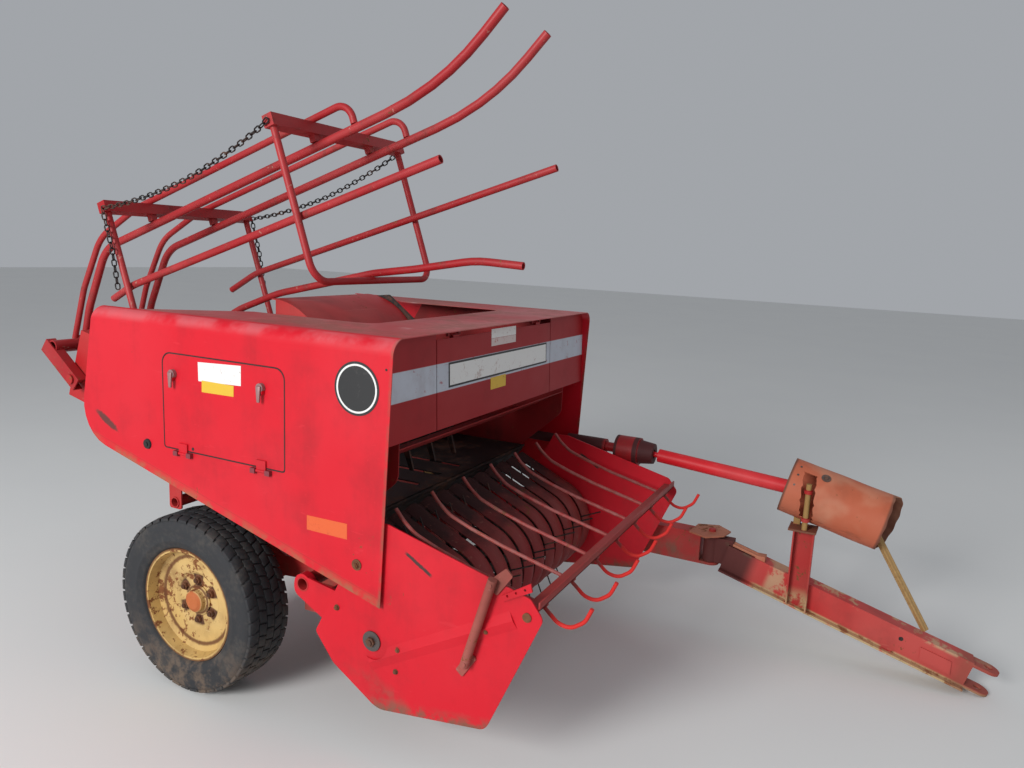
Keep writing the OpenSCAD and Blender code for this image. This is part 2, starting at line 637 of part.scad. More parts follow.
// Rim, disc and closed hub, rows of [radius, place across] with the outer side positive
stub_reach = 40;
hub_bore = stub_r + pin_gap;
half = rim_w / 2;
rim_rows = [[rim_r, half], [rim_r, half - 6], [rim_r - 8, half - 10], [rim_r - 14, 34], [rim_r - 34, 26],
    [rim_r - 34, -26], [rim_r - 14, -34], [rim_r - 8, 10 - half], [rim_r, 6 - half], [rim_r, -half],
    [rim_r - 12, -half], [rim_r - 20, -40], [rim_r - 40, -31], [rim_r - 40, 14], [rim_r - 50, 22],
        [112, 20],
    [98, 12], [52, 12], [52, -38], [hub_bore, -38], [hub_bore, stub_reach + 3], [0, stub_reach + 3],
    [0, stub_reach + 14], [26, stub_reach + 14], [40, stub_reach + 6], [42, 30], [58, 26], [58, 20],
        [94, 20],
    [108, 28], [rim_r - 52, 30], [rim_r - 40, 31], [rim_r - 20, 40], [rim_r - 12, half]];
module rim() {
    rotate([0, 90, 0]) rotate_extrude($fn = 96) polygon(rim_rows);
    for (i = [0 : studs - 1]) rotate([i * 360 / studs, 0, 0]) translate([14, 0, stud_circle])
        rotate([0, 90, 0])
        cylinder(r = 8, h = 24);
}
module wheel_at(side) translate([side * wheel_x, 0, axle_z]) mirror([side < 0 ? 1 : 0, 0, 0]) children();
module tyre_right() color("#222222") place() wheel_at(-1) tyre();
module tyre_left() color("#222222") place() wheel_at(1) tyre();
module rim_right() color("khaki") place() wheel_at(-1) rim();
module rim_left() color("khaki") place() wheel_at(1) rim();

// Pickup plate outline, rows of [y, z, corner radius]
plate_rows = [[-854, 800, 0], [-1340, 681, 25], [-1382, 628, 25], [-1214, 235, 40], [-824, 177, 80],
    [-646, 286, 40], [-572, 378, 15], [-782, 800, 0]];
// Arm from the plate's inner side to the pivot tube, and the spacer between them
arm_rows = [[-pivot_y + 36, pivot_z - 36, 35], [-pivot_y + 36, pivot_z + 36, 35], [-650, 520, 8],
    [-640, 436, 8],
    [-600, 405, 20]];
spacer_rows = [[-655, 505, 0], [-648, 470, 0], [-640, 438, 0], [-622, 425, 0], [-606, 440, 0],
    [-640, 515, 0]];
arm_in = 17;            // distance of the arm from the plate's inner face
arm_t = 8;
arm_boss = 30;          // length of the arm's boss round the pivot tube
module pickup_arm() difference() {
    union() {
        side_plate(arm_rows, arm_in, arm_t);
        side_plate(spacer_rows, 0, arm_in);
        bar_x(arm_in, arm_in + arm_boss, -pivot_y, pivot_z, 35);
    }
    bar_x(arm_in - 1, arm_in + arm_boss + 1, -pivot_y, pivot_z, pivot_r + pin_gap);
}
guard_pin = [-1332, 632];   // y, z of the wind guard's hinge
guard_pin_r = 8;
reel_shaft_r = 18;
plate_t = 5;
module pickup_plate(x) difference() {
    side_plate(plate_rows, x, plate_t);
    bar_x(x - 1, x + plate_t + 1, -reel_y, reel_z, reel_shaft_r + pin_gap);
    bar_x(x - 1, x + plate_t + 1, guard_pin[0], guard_pin[1], guard_pin_r + pin_gap);
}
// Pressed rib on the plate's outer face, rising to the wind guard's hinge
rib_from = [-790, 330];
rib_to = [-1290, 606];
rib_w = 56;
rib_h = 6;
module pickup_rib(side) {
    run = rib_to - rib_from;
    translate([0, rib_from[0], rib_from[1]]) rotate([atan2(run[1], run[0]) + 180, 0, 0])
        rotate([90, 0, 0])
        linear_extrude(norm(run)) polygon([[0, -rib_w / 2], [side * rib_h, 0], [0, rib_w / 2]]);
}
// Strip with three holes by the adjuster, y and z
strip_rows = [[-1250, 672, 0], [-1256, 655, 0], [-1346, 706, 0], [-1340, 730, 0]];
strip_holes = [for (y = [-1270, -1297, -1324]) [y, 676 - 0.57 * (y + 1270)]];
strip_hole_r = 4;
module pickup_plate_right() color("red") place() {
    pickup_plate(-pickup_right);
    difference() {
        translate([-pickup_right, 0, 0]) pickup_rib(-1);
        bar_x(-pickup_right - rib_h, -pickup_right, -reel_y, reel_z, 60);
    }
    translate([-pickup_right + plate_t, 0, 0]) pickup_arm();
    difference() {
        side_plate(strip_rows, -pickup_right - rib_h, rib_h);
        for (p = strip_holes) bar_x(-pickup_right - rib_h - 1, -pickup_right, p[0], p[1], strip_hole_r);
    }
}
module pickup_plate_left() color("red") place() {
    pickup_plate(pickup_left - plate_t);
    difference() {
        translate([pickup_left, 0, 0]) pickup_rib(1);
        bar_x(pickup_left, pickup_left + rib_h, -reel_y, reel_z, 60);
    }
    translate([pickup_left - plate_t, 0, 0]) mirror([1, 0, 0]) pickup_arm();
}

// Stripper bands: crowned strips bent round the reel, each with a straight tail,
// carried by a flat bar between the plates beyond the tines' reach
bands_x0 = -pickup_right + plate_t;
bands_w = pickup_left + pickup_right - 2 * plate_t;
band_pitch = (bands_w + band_gap - 8) / bands;
band_w = band_pitch - band_gap;
band_t = 3;
crown_steps = 4;
crown = [for (i = [-crown_steps : crown_steps])
    [i / crown_steps * band_w / 2, band_crown * (1 - pow(i / crown_steps, 2))]];
crown_last = 2 * crown_steps;
band_in = band_r - band_crown;
module band_profile() polygon(concat([for (p = crown) [band_in + p[1], p[0]]],
    [for (i = [crown_last : -1 : 0]) [band_in + crown[i][1] - band_t, crown[i][0]]]));
module stripper_bands() color("brown") place() translate([0, -reel_y, reel_z]) {
    for (i = [0 : bands - 1]) translate([bands_x0 + 4 + band_w / 2 + i * band_pitch, 0, 0])
        upright() rotate([0, 0, 90 + band_slope]) {
            rotate_extrude(angle = 180 - band_slope, $fn = 96) band_profile();
            rotate([90, 0, 0]) linear_extrude(band_tail) band_profile();
        }
    translate([bands_x0, 0, 0]) upright() rotate([0, 0, 90 + band_slope])
        translate([band_in - 8, -band_tail, 0]) cube([6, 34, bands_w]);
    for (x = [bands_x0, bands_x0 + bands_w - 5]) translate([x, 0, 0]) upright()
        rotate([0, 0, 90 + band_slope])
        translate([band_in - 30, -band_tail, 0]) cube([28, band_tail - 60, 5]);
}

// Height adjuster on the right plate, between two lugs
strut_from = [-1225, 708];
strut_to = [-1150, 445];
strut_r = 14;
clip_t = 6;
low_clip = [[-1133, 386, 4], [-1110, 404, 4], [-1152, 470, 6], [-1178, 455, 6]];
high_clip = [[-1200, 700, 6], [-1262, 757, 6], [-1284, 737, 6], [-1236, 668, 6]];
module height_strut() color("firebrick") place() {
    for (p = [strut_from, strut_to]) bar_x(-pickup_right - 36, -pickup_right - 1, p[0], p[1], 8);
    strut = strut_to - strut_from;
    translate([-pickup_right - rib_h - strut_r - 1, strut_from[0], strut_from[1]])
        rotate([atan2(strut[1], strut[0]) + 270, 0, 0]) translate([0, 0, -14])
            cylinder(r = strut_r, h = norm(strut) + 28);
    for (rows = [low_clip, high_clip]) side_plate(rows, -pickup_right - clip_t, clip_t);
}

// Tine bars and tines of the reel, on spider discs
tine_bar_at = 138;
tine_bar_r = 10;
tine_lean = 9;          // lean of the tines against the reel's turn, in degrees
module pickup_reel() color("#333333") place() {
    bar_x(-pickup_right - 4, pickup_left + 4, -reel_y, reel_z, reel_shaft_r);
    bar_x(-pickup_right - 4 - 6, -pickup_right - 4, -reel_y, reel_z, 12);
    for (i = [0, 4, 9, 13])
        bar_x(reel_place(i) - 3, reel_place(i) + 3, -reel_y, reel_z, tine_bar_at + 18);
    for (k = [0 : tine_bars - 1]) translate([0, -reel_y, reel_z])
        rotate([165 + k * 360 / tine_bars, 0, 0]) {
        bar_x(bands_x0 + 12, pickup_left - plate_t - 12, tine_bar_at, 0, tine_bar_r);
        for (i = [1 : bands - 1]) translate([gap_place(i), 0, 0]) {
            upright() translate([tine_bar_at, 0, 0]) rotate([0, 0, -tine_lean]) rotate([0, 90, 0])
                cylinder(r = tine_r, h = (tine_reach - tine_bar_at) / cos(tine_lean));
            bar_x(-6, 6, tine_bar_at, 0, tine_bar_r + 6);
        }
    }
}
function reel_place(i) = bands_x0 + 4 + band_w / 2 + i * band_pitch;
function gap_place(i) = bands_x0 + 4 + i * band_pitch - band_gap / 2;

// Wind guard: angle bar on two pins with long rods over the bands
guard_r = 6;
guard_from = bands_x0 + guard_in_right;
guard_pitch = (bands_w - guard_in_right - guard_in_left) / (guard_rods - 1);
guard_path = [[-1476, 690], [-1442, 612], [-1376, 606], [-1330, 640], [-905, 786], [-828, 826]];
module wind_guard() color("brown") place() {
    bar_x(bands_x0 - plate_t - 4, bands_x0 + 30, guard_pin[0], guard_pin[1], guard_pin_r);
    bar_x(pickup_left - plate_t - 30, pickup_left + 4, guard_pin[0], guard_pin[1], guard_pin_r);
    for (x = [bands_x0 + 3, pickup_left - plate_t - 11])
        side_plate([[guard_pin[0] - 14, guard_pin[1] - 14, 10],
        [guard_pin[0] + 14, guard_pin[1] - 14, 10], [-guard_y + 20, guard_z, 0],
            [-guard_y - 20, guard_z, 0]], x, 8);
    translate([bands_x0 + 3, -guard_y - 22, guard_z]) cube([bands_w - 6, 44, 6]);
    translate([bands_x0 + 3, -guard_y - 22, guard_z]) cube([bands_w - 6, 6, 24]);
    for (i = [0 : guard_rods - 1]) translate([guard_from + i * guard_pitch, 0, 0]) {
        upright() swept_rod(guard_path, 28, guard_r, 8);
        translate([-8, -guard_y - 18, guard_z - 16]) cube([16, 30, 17]);
    }
}

// Drawbar in its own slope: the first length forward from the pivot, the second up
module draw_place() translate([draw_x, -draw_pivot_y, draw_pivot_z]) rotate([draw_drop, 0, 0]) children();
web_x = -draw_w / 2;
channel_from = 70;          // distances of the channel's ends from the pivot
channel_to = hitch_u - 55;
channel_t = 8;
neck_h = mount_h - 2 * lug_t - 2;
module drawbar_beam() color("firebrick") place() {
    difference() {
        union() {
            translate([draw_x, -draw_pivot_y, draw_pivot_z - neck_h / 2])
                cylinder(r = draw_w / 2 - 6, h = neck_h);
            translate([draw_x - 26, -draw_pivot_y - 100, draw_pivot_z - neck_h / 2])
                cube([52, 90, neck_h]);
        }
        translate([draw_x, -draw_pivot_y, 0]) cylinder(r = draw_pin_r + pin_gap, h = 1000);
    }
    draw_place() {
        translate([web_x, -channel_to, -draw_h / 2]) cube([channel_t, channel_to - channel_from, draw_h]);
        translate([web_x, -channel_to, draw_h / 2 - channel_t])
            cube([draw_w, channel_to - channel_from, channel_t]);
        translate([web_x - 30, -channel_to, -draw_h / 2])
            cube([draw_w + 30, channel_to - channel_from, channel_t]);
        translate([web_x, -channel_from - 50, -draw_h / 2]) cube([draw_w, 50, draw_h]);
        for (v = [-lug_out, lug_space / 2]) translate([0, -hitch_u, v]) difference() {
            union() {
                cylinder(r = lug_r, h = lug_t);
                translate([-lug_r, 0, 0]) cube([2 * lug_r, 120, lug_t]);
            }
            translate([0, 0, -1]) cylinder(r = hitch_r, h = lug_t + 2);
        }
        translate([web_x, -hitch_u + 60, -draw_h / 2]) cube([draw_w, 12, draw_h]);
    }
}

// Post on the drawbar's side with the spindle and the strap of the shaft guard
post_y = -1915;
post_x = draw_x - draw_w / 2 - 42;
post_top = 545;
can_drop = 13.5;            // slope of the shaft guard, in degrees
spindle_r = 11;
spindle_x = draw_x - 75;
module guard_post() color("firebrick") place() {
    difference() {
        translate([post_x, post_y - 42, 100]) difference() {
            cube([42, 84, post_top - 100]);
            translate([-1, 6, -1]) cube([37, 72, post_top - 100]);
        }
        draw_place() translate([web_x - 60, -draw_l, -draw_h / 2 + channel_t - 300])
            cube([draw_w + 60, draw_l, 300]);
    }
    translate([post_x - 10, post_y - 48, post_top]) cube([104, 110, 8]);
    translate([spindle_x, post_y, post_top]) cylinder(r = spindle_r, h = 205);
    for (z = [45, 165]) translate([spindle_x, post_y, post_top + z]) cylinder(r = spindle_r + 6, h = 14);
    difference() {
        translate([can_x - 30, can_at[0] - 70, post_top + 4]) cube([60, 26, 60]);
        translate([can_x, can_at[0], can_at[1]]) rotate([90 + can_drop, 0, 0])
            cylinder(r = can_r + seat_gap, h = can_l);
    }
}

// Round guard over the drive shaft's joint, open at both ends and slotted for the spindle
module shaft_guard() color("chocolate") place() difference() {
    translate([can_x, can_at[0], can_at[1]]) rotate([90 + can_drop, 0, 0]) cylinder(r = can_r, h = can_l);
    translate([can_x, can_at[0], can_at[1]]) rotate([90 + can_drop, 0, 0]) translate([0, 0, -1])
        cylinder(r = can_r - 4, h = can_l + 2);
    translate([spindle_x - 80, post_y - 26, post_top]) cube([80 + 26, 52, 260]);
}

// Yoke inside the guard that the profile bar hangs from
joint_at = [-2128, 655];
module shaft_yoke() color("#444444") place() {
    bar_x(can_x - 36, can_x + 36, joint_at[0], joint_at[1], 8);
    for (x = [can_x - 34, can_x + 26])
        side_plate([[joint_at[0] - 16, joint_at[1] - 16, 15], [joint_at[0] + 64, joint_at[1] - 16, 0],
        [joint_at[0] + 64, joint_at[1] + 16, 0], [joint_at[0] - 16, joint_at[1] + 16, 15]], x, 8);
    intersection() {
        translate([can_x, can_at[0], can_at[1]]) rotate([90 + can_drop, 0, 0])
            cylinder(r = can_r - 4 - seat_gap, h = can_l);
        translate([can_x - can_r, joint_at[0] + 58, joint_at[1] - 22]) cube([2 * can_r, 8, 44]);
    }
}

// Profiled shaft bar, folded down to rest on the drawbar
bar_foot = [-2405, 202];
module profile_bar() color("goldenrod") place() {
    run = bar_foot - joint_at;
    difference() {
        union() {
            bar_x(can_x - 22, can_x + 22, joint_at[0], joint_at[1], 20);
            translate([can_x, joint_at[0], joint_at[1]]) rotate([atan2(run[1], run[0]) + 270, 0, 0]) {
                translate([0, 0, 12]) linear_extrude(norm(run) - 12) profile();
                translate([0, 0, 12]) cylinder(r = 19, h = 60);
            }
        }
        bar_x(can_x - 23, can_x + 23, joint_at[0], joint_at[1], 8 + pin_gap);
    }
}
// Star section with four round lobes
module profile() union() {
    circle(11);
    for (a = [0 : 90 : 270]) rotate([0, 0, a]) translate([9, 0]) circle(6);
}

// Drive shaft tube from the clutch to the guard
tube_end = [-1840, 706];
ball_at = [-clutch_y + ball_r, pto_z];
module drive_tube() color("red") place() {
    run = tube_end - ball_at;
    translate([pto_x, ball_at[0], ball_at[1]]) rotate([atan2(run[1], run[0]) + 270, 0, 0]) difference() {
        union() {
            sphere(r = ball_r);
            cylinder(r = ball_r - 8, h = 60);
            translate([0, 0, 42]) cylinder(r = shaft_r, h = norm(run) - 42);
        }
        translate([0, 0, norm(run) - 60]) cylinder(r = shaft_r - 4, h = 61);
    }
}

// Chute in its own slope: first length forward along the rods, second square to them
chute_at = [469, 1664];     // y, z of the main rods under the first cross beam
module chute_place() translate([0, chute_at[0], chute_at[1]]) rotate([-chute_slope, 0, 0]) children();
function in_chute(p) = let (d = p - chute_at) [-d[0] * cos(chute_slope) + d[1] * sin(chute_slope),
    d[0] * sin(chute_slope) + d[1] * cos(chute_slope)];
// Rod in a plane of the chute at one x, from corner points [forward, up]
module chute_rod(x, p, bend, r, sides = 10) translate([x, 0, 0]) upright() mirror([1, 0, 0])
    swept_rod(p, bend, r, sides);
beam_low = 38;              // distance of the beams' lower face over the main rods
top_v = beam_low + beam_w + hoop_r + seat_gap;
beam_u = [20, 20 + beam_pitch];
rod_x = [-chamber_x - 150, -chamber_x + 150];
root = in_chute(chute_root);
root_on = root + unit([94, 134]) * (chute_tube_r + seat_gap);
main_end = [1651, 133];
main_path = [root_on, root + [94, 134], [-285, 0], [1260, 0], [1464, 39], main_end];
top_path = [[-622, -292], [-480, -112], [-300, 50], [-60, top_v], [1040, top_v],
    [1040, chute_r + seat_gap]];
hoop_x = beam_l / 2 - 20;
hoop_v = beam_low + beam_w / 2 - hoop_h;
side_x = hoop_x - hoop_r - side_r - seat_gap;
low_v = hoop_v + hoop_r + side_r + seat_gap;
right_path = [[-103, -254], [15, -236], [1407, -255]];
left_path = [[-142, -226], [22, -197], [1505, -244]];
low_path = [[10, low_v - 2], [194, -392], [421, -388], [beam_u[1], low_v + 1], [1041, -474], [1278, -514],
    [1439, -580]];
// Reach of the root tube beyond the chamber, to the arms' webs
root_reach = arm_gap + arm_w - arm_wall - 1;
module chute_main_rods() color("firebrick") place() {
    chute_place() for (x = rod_x) difference() {
        chute_rod(x, main_path, 90, chute_r, 14);
        translate([x, -main_end[0], main_end[1]]) rotate([90 - atan2(94, 187), 0, 0])
            translate([0, 0, -60]) cylinder(r = chute_r - 3, h = 61);
    }
    tube_x(chamber_right - root_reach, chamber_left + root_reach, chute_root[0], chute_root[1],
        chute_tube_r, 5);
}
module chute_top_rods() color("firebrick") place() {
    chute_place() for (x = rod_x) chute_rod(x, top_path, 40, hoop_r);
    for (x = rod_x) difference() {
        side_plate([[chute_root[0] - 34, chute_root[1] - 34, 33],
            [chute_root[0] + root_back, chute_root[1] - 34, 20],
            [chute_root[0] + root_back, chute_root[1] + 30, 12],
                [chute_root[0] - 34, chute_root[1] + 34, 33]],
            x + 20, 8);
        bar_x(x, x + 50, chute_root[0], chute_root[1], chute_tube_r + seat_gap);
    }
}
module chute_side_rods() color("firebrick") place() chute_place() {
    chute_rod(-chamber_x - side_x, right_path, 40, side_r);
    chute_rod(-chamber_x + side_x, left_path, 40, side_r);
    chute_rod(-chamber_x - 20, low_path, 60, side_r);
}
module chute_beams() color("firebrick") place() {
    chute_place() for (u = beam_u) {
        translate([-chamber_x - beam_l / 2, -u - beam_w / 2, beam_low]) cube([beam_l, beam_w, beam_w]);
        for (x = rod_x) translate([x - 12, -u - 12, chute_r + seat_gap])
            cube([24, 24, beam_low - chute_r]);
    }
    for (side = [-1, 1]) translate([-chamber_x + side * chamber_w / 2, 0, 0])
        mirror([side < 0 ? 1 : 0, 0, 0])
        chute_arm();
}
// Channel arm from the pin on the chamber to the chute's root tube, its web outward
arm_slope = 37.8;
arm_h = 60;
arm_back = 35;          // reach of the arm beyond its pin
arm_l = 240;
module chute_arm() difference() {
    translate([arm_gap, chute_pivot[0], chute_pivot[1]]) union() {
        rotate([arm_slope, 0, 0]) difference() {
            translate([0, -arm_back, -arm_h / 2]) cube([arm_w, arm_l, arm_h]);
            translate([-1, -arm_back - 1, arm_wall - arm_h / 2])
                cube([arm_w - arm_wall + 1, arm_l + 2, arm_h - 2 * arm_wall]);
        }
        bar_x(0, arm_w - 1, 0, 0, chute_pin_r + 7);
    }
    bar_x(0, arm_gap + arm_w + 1, chute_pivot[0], chute_pivot[1], chute_pin_r + pin_gap);
    bar_x(0, root_reach + seat_gap, chute_root[0], chute_root[1], chute_tube_r + seat_gap);
}
module chute_hoops() color("firebrick") place() chute_place() for (u = beam_u)
    translate([-chamber_x, -u, 0]) rotate([90, 0, 0])
        bent_rod([[-hoop_x, beam_low], [-hoop_x, hoop_v], [hoop_x, hoop_v],
            [hoop_x, beam_low]], hoop_bend, hoop_r);

// Safety chains between the beams' ends, with a hanging end
chain_r = 6;
chain_path = [[beam_u[1] + 6, beam_low + 20], [650, 17], [456, 3], [219, 17],
    [beam_u[0] + 10, beam_low + 12]];
module chute_chains() color("#333333") place() chute_place() for (side = [-1, 1])
    translate([side * (beam_l / 2 + chain_r + seat_gap), 0, 0]) {
        chute_rod(-chamber_x, chain_path, 60, chain_r);
        chute_rod(-chamber_x, [[beam_u[0] + 10, beam_low + 12], [beam_u[0] + 4, -100],
            [beam_u[0] - 20, -250]], 60, chain_r);
    }

side_panel_right();
side_panel_left();
top_cover();
front_panel_right();
front_panel_left();
front_hatch();
side_door();
door_hinge();
hatch_hinge();
feed_hood();
inner_wall_right();
inner_wall_left();
intake_deck();
bale_chamber();
ram_shield();
rear_panel();
gearbox();
drive_clutch();
axle_beam();
frame_rail_right();
frame_rail_left();
front_beam();
cross_tube();
pickup_pivot_tube();
drawbar_mount();
chute_hinge();
tension_bars();
packer_fork();
tyre_right();
rim_right();
tyre_left();
rim_left();
pickup_plate_right();
pickup_plate_left();
stripper_bands();
height_strut();
pickup_reel();
wind_guard();
drawbar_beam();
guard_post();
shaft_guard();
shaft_yoke();
profile_bar();
drive_tube();
chute_main_rods();
chute_top_rods();
chute_side_rods();
chute_beams();
chute_hoops();
chute_chains();
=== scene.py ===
from math import radians, degrees, sin, cos, tan, pi, atan2, hypot, ceil
import bpy
import bmesh
from mathutils import Matrix, Vector


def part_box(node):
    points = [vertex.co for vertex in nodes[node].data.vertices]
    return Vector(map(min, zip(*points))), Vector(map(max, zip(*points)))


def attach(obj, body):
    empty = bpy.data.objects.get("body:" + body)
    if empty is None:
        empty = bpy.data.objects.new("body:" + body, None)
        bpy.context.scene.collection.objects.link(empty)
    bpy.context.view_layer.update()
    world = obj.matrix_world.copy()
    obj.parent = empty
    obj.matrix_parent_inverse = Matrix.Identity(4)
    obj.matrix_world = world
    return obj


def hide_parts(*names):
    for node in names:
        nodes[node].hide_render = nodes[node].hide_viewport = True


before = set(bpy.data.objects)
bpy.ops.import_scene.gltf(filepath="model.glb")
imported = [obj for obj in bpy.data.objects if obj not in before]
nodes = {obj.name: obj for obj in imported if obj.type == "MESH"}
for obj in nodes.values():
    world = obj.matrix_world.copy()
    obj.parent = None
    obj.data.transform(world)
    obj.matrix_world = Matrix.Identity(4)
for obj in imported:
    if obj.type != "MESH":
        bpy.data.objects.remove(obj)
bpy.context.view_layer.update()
print("frame loaded:", len(nodes), "nodes")


def middle(node, axis):
    low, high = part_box(node)
    return (low[axis] + high[axis]) / 2


# places are written from the axle and the machine's middle, then shifted into the frame
midX = -(middle("side_panel_left", 0) + middle("side_panel_right", 0)) / 2
midY = -middle("axle_beam", 1)


def at(x, y, z):
    return Vector((x - midX, y - midY, z))


# camera at the photograph's place
cameraSpec = dict(place=(-2.6495, -2.1757, 1.6472), yaw=1.112146, pitch=-0.172135,
                  roll=0.047152, lens=27.46)


def placeCamera(spec):
    yaw, pitch, roll = spec["yaw"], spec["pitch"], spec["roll"]
    forward = Vector((sin(yaw) * cos(pitch), cos(yaw) * cos(pitch), sin(pitch)))
    right = Vector((cos(yaw), -sin(yaw), 0))
    up = right.cross(forward)
    turnedRight = right * cos(roll) + up * sin(roll)
    turnedUp = up * cos(roll) - right * sin(roll)
    data = bpy.data.cameras.new("photoCamera")
    data.lens = spec["lens"]
    data.sensor_width = 36
    data.sensor_fit = "HORIZONTAL"
    data.clip_end = 200
    camera = bpy.data.objects.new("photoCamera", data)
    bpy.context.scene.collection.objects.link(camera)
    turn = Matrix((turnedRight, turnedUp, -forward)).transposed().to_4x4()
    camera.matrix_world = Matrix.Translation(at(*spec["place"])) @ turn
    bpy.context.scene.camera = camera


placeCamera(cameraSpec)


# shader maths
class Sock:
    def __init__(self, recipe, socket):
        self.recipe, self.socket = recipe, socket

    def maths(self, operation, *others):
        return self.recipe.make("ShaderNodeMath", dict(operation=operation), [self, *others])

    def __add__(self, other):
        return self.maths("ADD", other)

    def __sub__(self, other):
        return self.maths("SUBTRACT", other)

    def __rsub__(self, other):
        return self.recipe.make("ShaderNodeMath", dict(operation="SUBTRACT"), [other, self])

    def __mul__(self, other):
        return self.maths("MULTIPLY", other)

    def __truediv__(self, other):
        return self.maths("DIVIDE", other)

    __radd__ = __add__
    __rmul__ = __mul__

    def ramp(self, low, high):          # 0 below low, 1 above high, smooth between
        return self.recipe.make("ShaderNodeMapRange", dict(interpolation_type="SMOOTHSTEP"),
                                {"Value": self, "From Min": low, "From Max": high})

    def band(self, low, high, soft=0.004):      # 1 between low and high
        return self.ramp(low - soft, low + soft) * (1 - self.ramp(high - soft, high + soft))

    def peak(self, other):
        return self.maths("MAXIMUM", other)

    def size(self):
        return self.maths("ABSOLUTE")

    def length(self, other):
        return (self * self + other * other).maths("SQRT")


class Recipe:
    def __init__(self, name):
        self.material = bpy.data.materials.new(name)
        self.material.use_nodes = True
        self.tree = self.material.node_tree
        self.shader = next(n for n in self.tree.nodes if n.type == "BSDF_PRINCIPLED")
        self.coords = self.make("ShaderNodeTexCoord", {}, {}, "Object")

    def make(self, kind, settings, inputs, output=0):
        node = self.tree.nodes.new(kind)
        for key, value in settings.items():
            setattr(node, key, value)
        pairs = inputs.items() if isinstance(inputs, dict) else enumerate(inputs)
        for key, value in pairs:
            self.feed(node.inputs[key], value)
        return Sock(self, node.outputs[output])

    def feed(self, socket, value):
        if isinstance(value, Sock):
            self.tree.links.new(value.socket, socket)
        elif isinstance(value, tuple) and len(value) == 3 and socket.type == "RGBA":
            socket.default_value = (*value, 1)
        else:
            socket.default_value = value

    def axes(self):
        node = self.tree.nodes.new("ShaderNodeSeparateXYZ")
        self.feed(node.inputs[0], self.coords)
        x, y, z = [Sock(self, out) for out in node.outputs]
        return x + midX, y + midY, z

    def noise(self, scale, detail=4, rough=0.55, stretch=None, distortion=0.0):
        place = self.coords
        if stretch:
            place = self.make("ShaderNodeMapping", {}, {"Vector": self.coords, "Scale": stretch})
        return self.make("ShaderNodeTexNoise", {}, {"Vector": place, "Scale": scale, "Detail": detail,
                                                     "Roughness": rough, "Distortion": distortion})

    def cells(self, scale, output="Distance", feature="F1"):
        return self.make("ShaderNodeTexVoronoi", dict(feature=feature), {"Vector": self.coords, "Scale": scale}, output)

    def mix(self, factor, first, second):
        node = self.tree.nodes.new("ShaderNodeMix")
        node.data_type = "RGBA"
        colours = [s for s in node.inputs if s.type == "RGBA"]
        self.feed(node.inputs["Factor"], factor)
        self.feed(colours[0], first)
        self.feed(colours[1], second)
        return Sock(self, next(s for s in node.outputs if s.type == "RGBA"))

    def finish(self, colour, rough, height=None, strength=0.2, distance=0.002, metal=None, **fixed):
        self.feed(self.shader.inputs["Base Color"], colour)
        self.feed(self.shader.inputs["Roughness"], rough)
        if metal is not None:
            self.feed(self.shader.inputs["Metallic"], metal)
        if height is not None:
            bump = self.make("ShaderNodeBump", {}, {"Height": height, "Strength": strength, "Distance": distance})
            self.feed(self.shader.inputs["Normal"], bump)
        for key, value in fixed.items():
            self.feed(self.shader.inputs[key.replace("_", " ")], value)
        return self.material


rustDeep, rustPale = (0.10, 0.032, 0.014), (0.28, 0.11, 0.04)
mudColour = (0.16, 0.11, 0.075)
paintShine = 0.28


# worn enamel: broad fading, grime in patches, scratches, specks and rust, then the marks of one place
def wornPaint(name, base, faded, grime, fade=0.5, dirt=0.5, rust=0.3, gloss=0.36, mudTop=None, stripe=None, marks=None):
    r = Recipe(name)
    x, y, z = r.axes()
    broad = r.noise(1.7, 3)
    cloudy = r.noise(6.5, 5, 0.6)
    fine = r.noise(55, 5, 0.65)
    colour = r.mix(broad.ramp(0.35, 0.70) * fade, base, faded)
    if stripe:
        pale = z.band(stripe["low"], stripe["high"], 0.0015)
        worn = (1 - r.noise(34, 6, 0.7).ramp(0.60, 0.68) * 0.7)
        colour = r.mix(pale * worn, colour, r.mix(cloudy, stripe["colour"], stripe["shade"]))
    streaks = r.noise(9, 4, 0.6, stretch=(1, 1, 0.16))
    colour = r.mix((cloudy * 0.6 + streaks * 0.4).ramp(0.52 - 0.12 * dirt, 0.80) * dirt, colour, grime)
    scratch = r.noise(26, 2, 0.5, stretch=(0.12, 0.5, 3.2), distortion=0.4).ramp(0.70, 0.73)
    specks = 1 - r.cells(34).ramp(0.07, 0.12)
    colour = r.mix((scratch.peak(specks * cloudy.ramp(0.45, 0.60))) * 0.40, colour, faded)
    chips = (r.noise(38, 6, 0.7) * 0.55 + r.noise(4.2, 3) * 0.45).ramp(0.66 - 0.13 * rust, 0.69 - 0.12 * rust)
    colour = r.mix(chips, colour, r.mix(r.noise(70, 5), rustDeep, rustPale))
    rough = gloss + cloudy * 0.22 + chips * 0.35
    for mask, tint in (marks(r, x, y, z, cloudy, fine) if marks else ()):
        colour = r.mix(mask, colour, tint)
        rough = rough + mask * 0.2
    if mudTop:
        splash = (z * -1 + mudTop + (cloudy - 0.5) * 0.5).ramp(0.0, 0.30) * r.noise(16, 6, 0.7).ramp(0.40, 0.62)
        colour = r.mix(splash * 0.75, colour, mudColour)
        rough = rough + splash * 0.25
    height = fine * 0.3 + chips * -0.6 + cloudy * 0.25
    return r.finish(colour, rough, height, 0.22, 0.0015, Specular_IOR_Level=paintShine)


# marks of single places, each a mask and its colour
sideEdge = dict(low=0.7456, slope=0.2586, strip=0.040, fold=0.028)


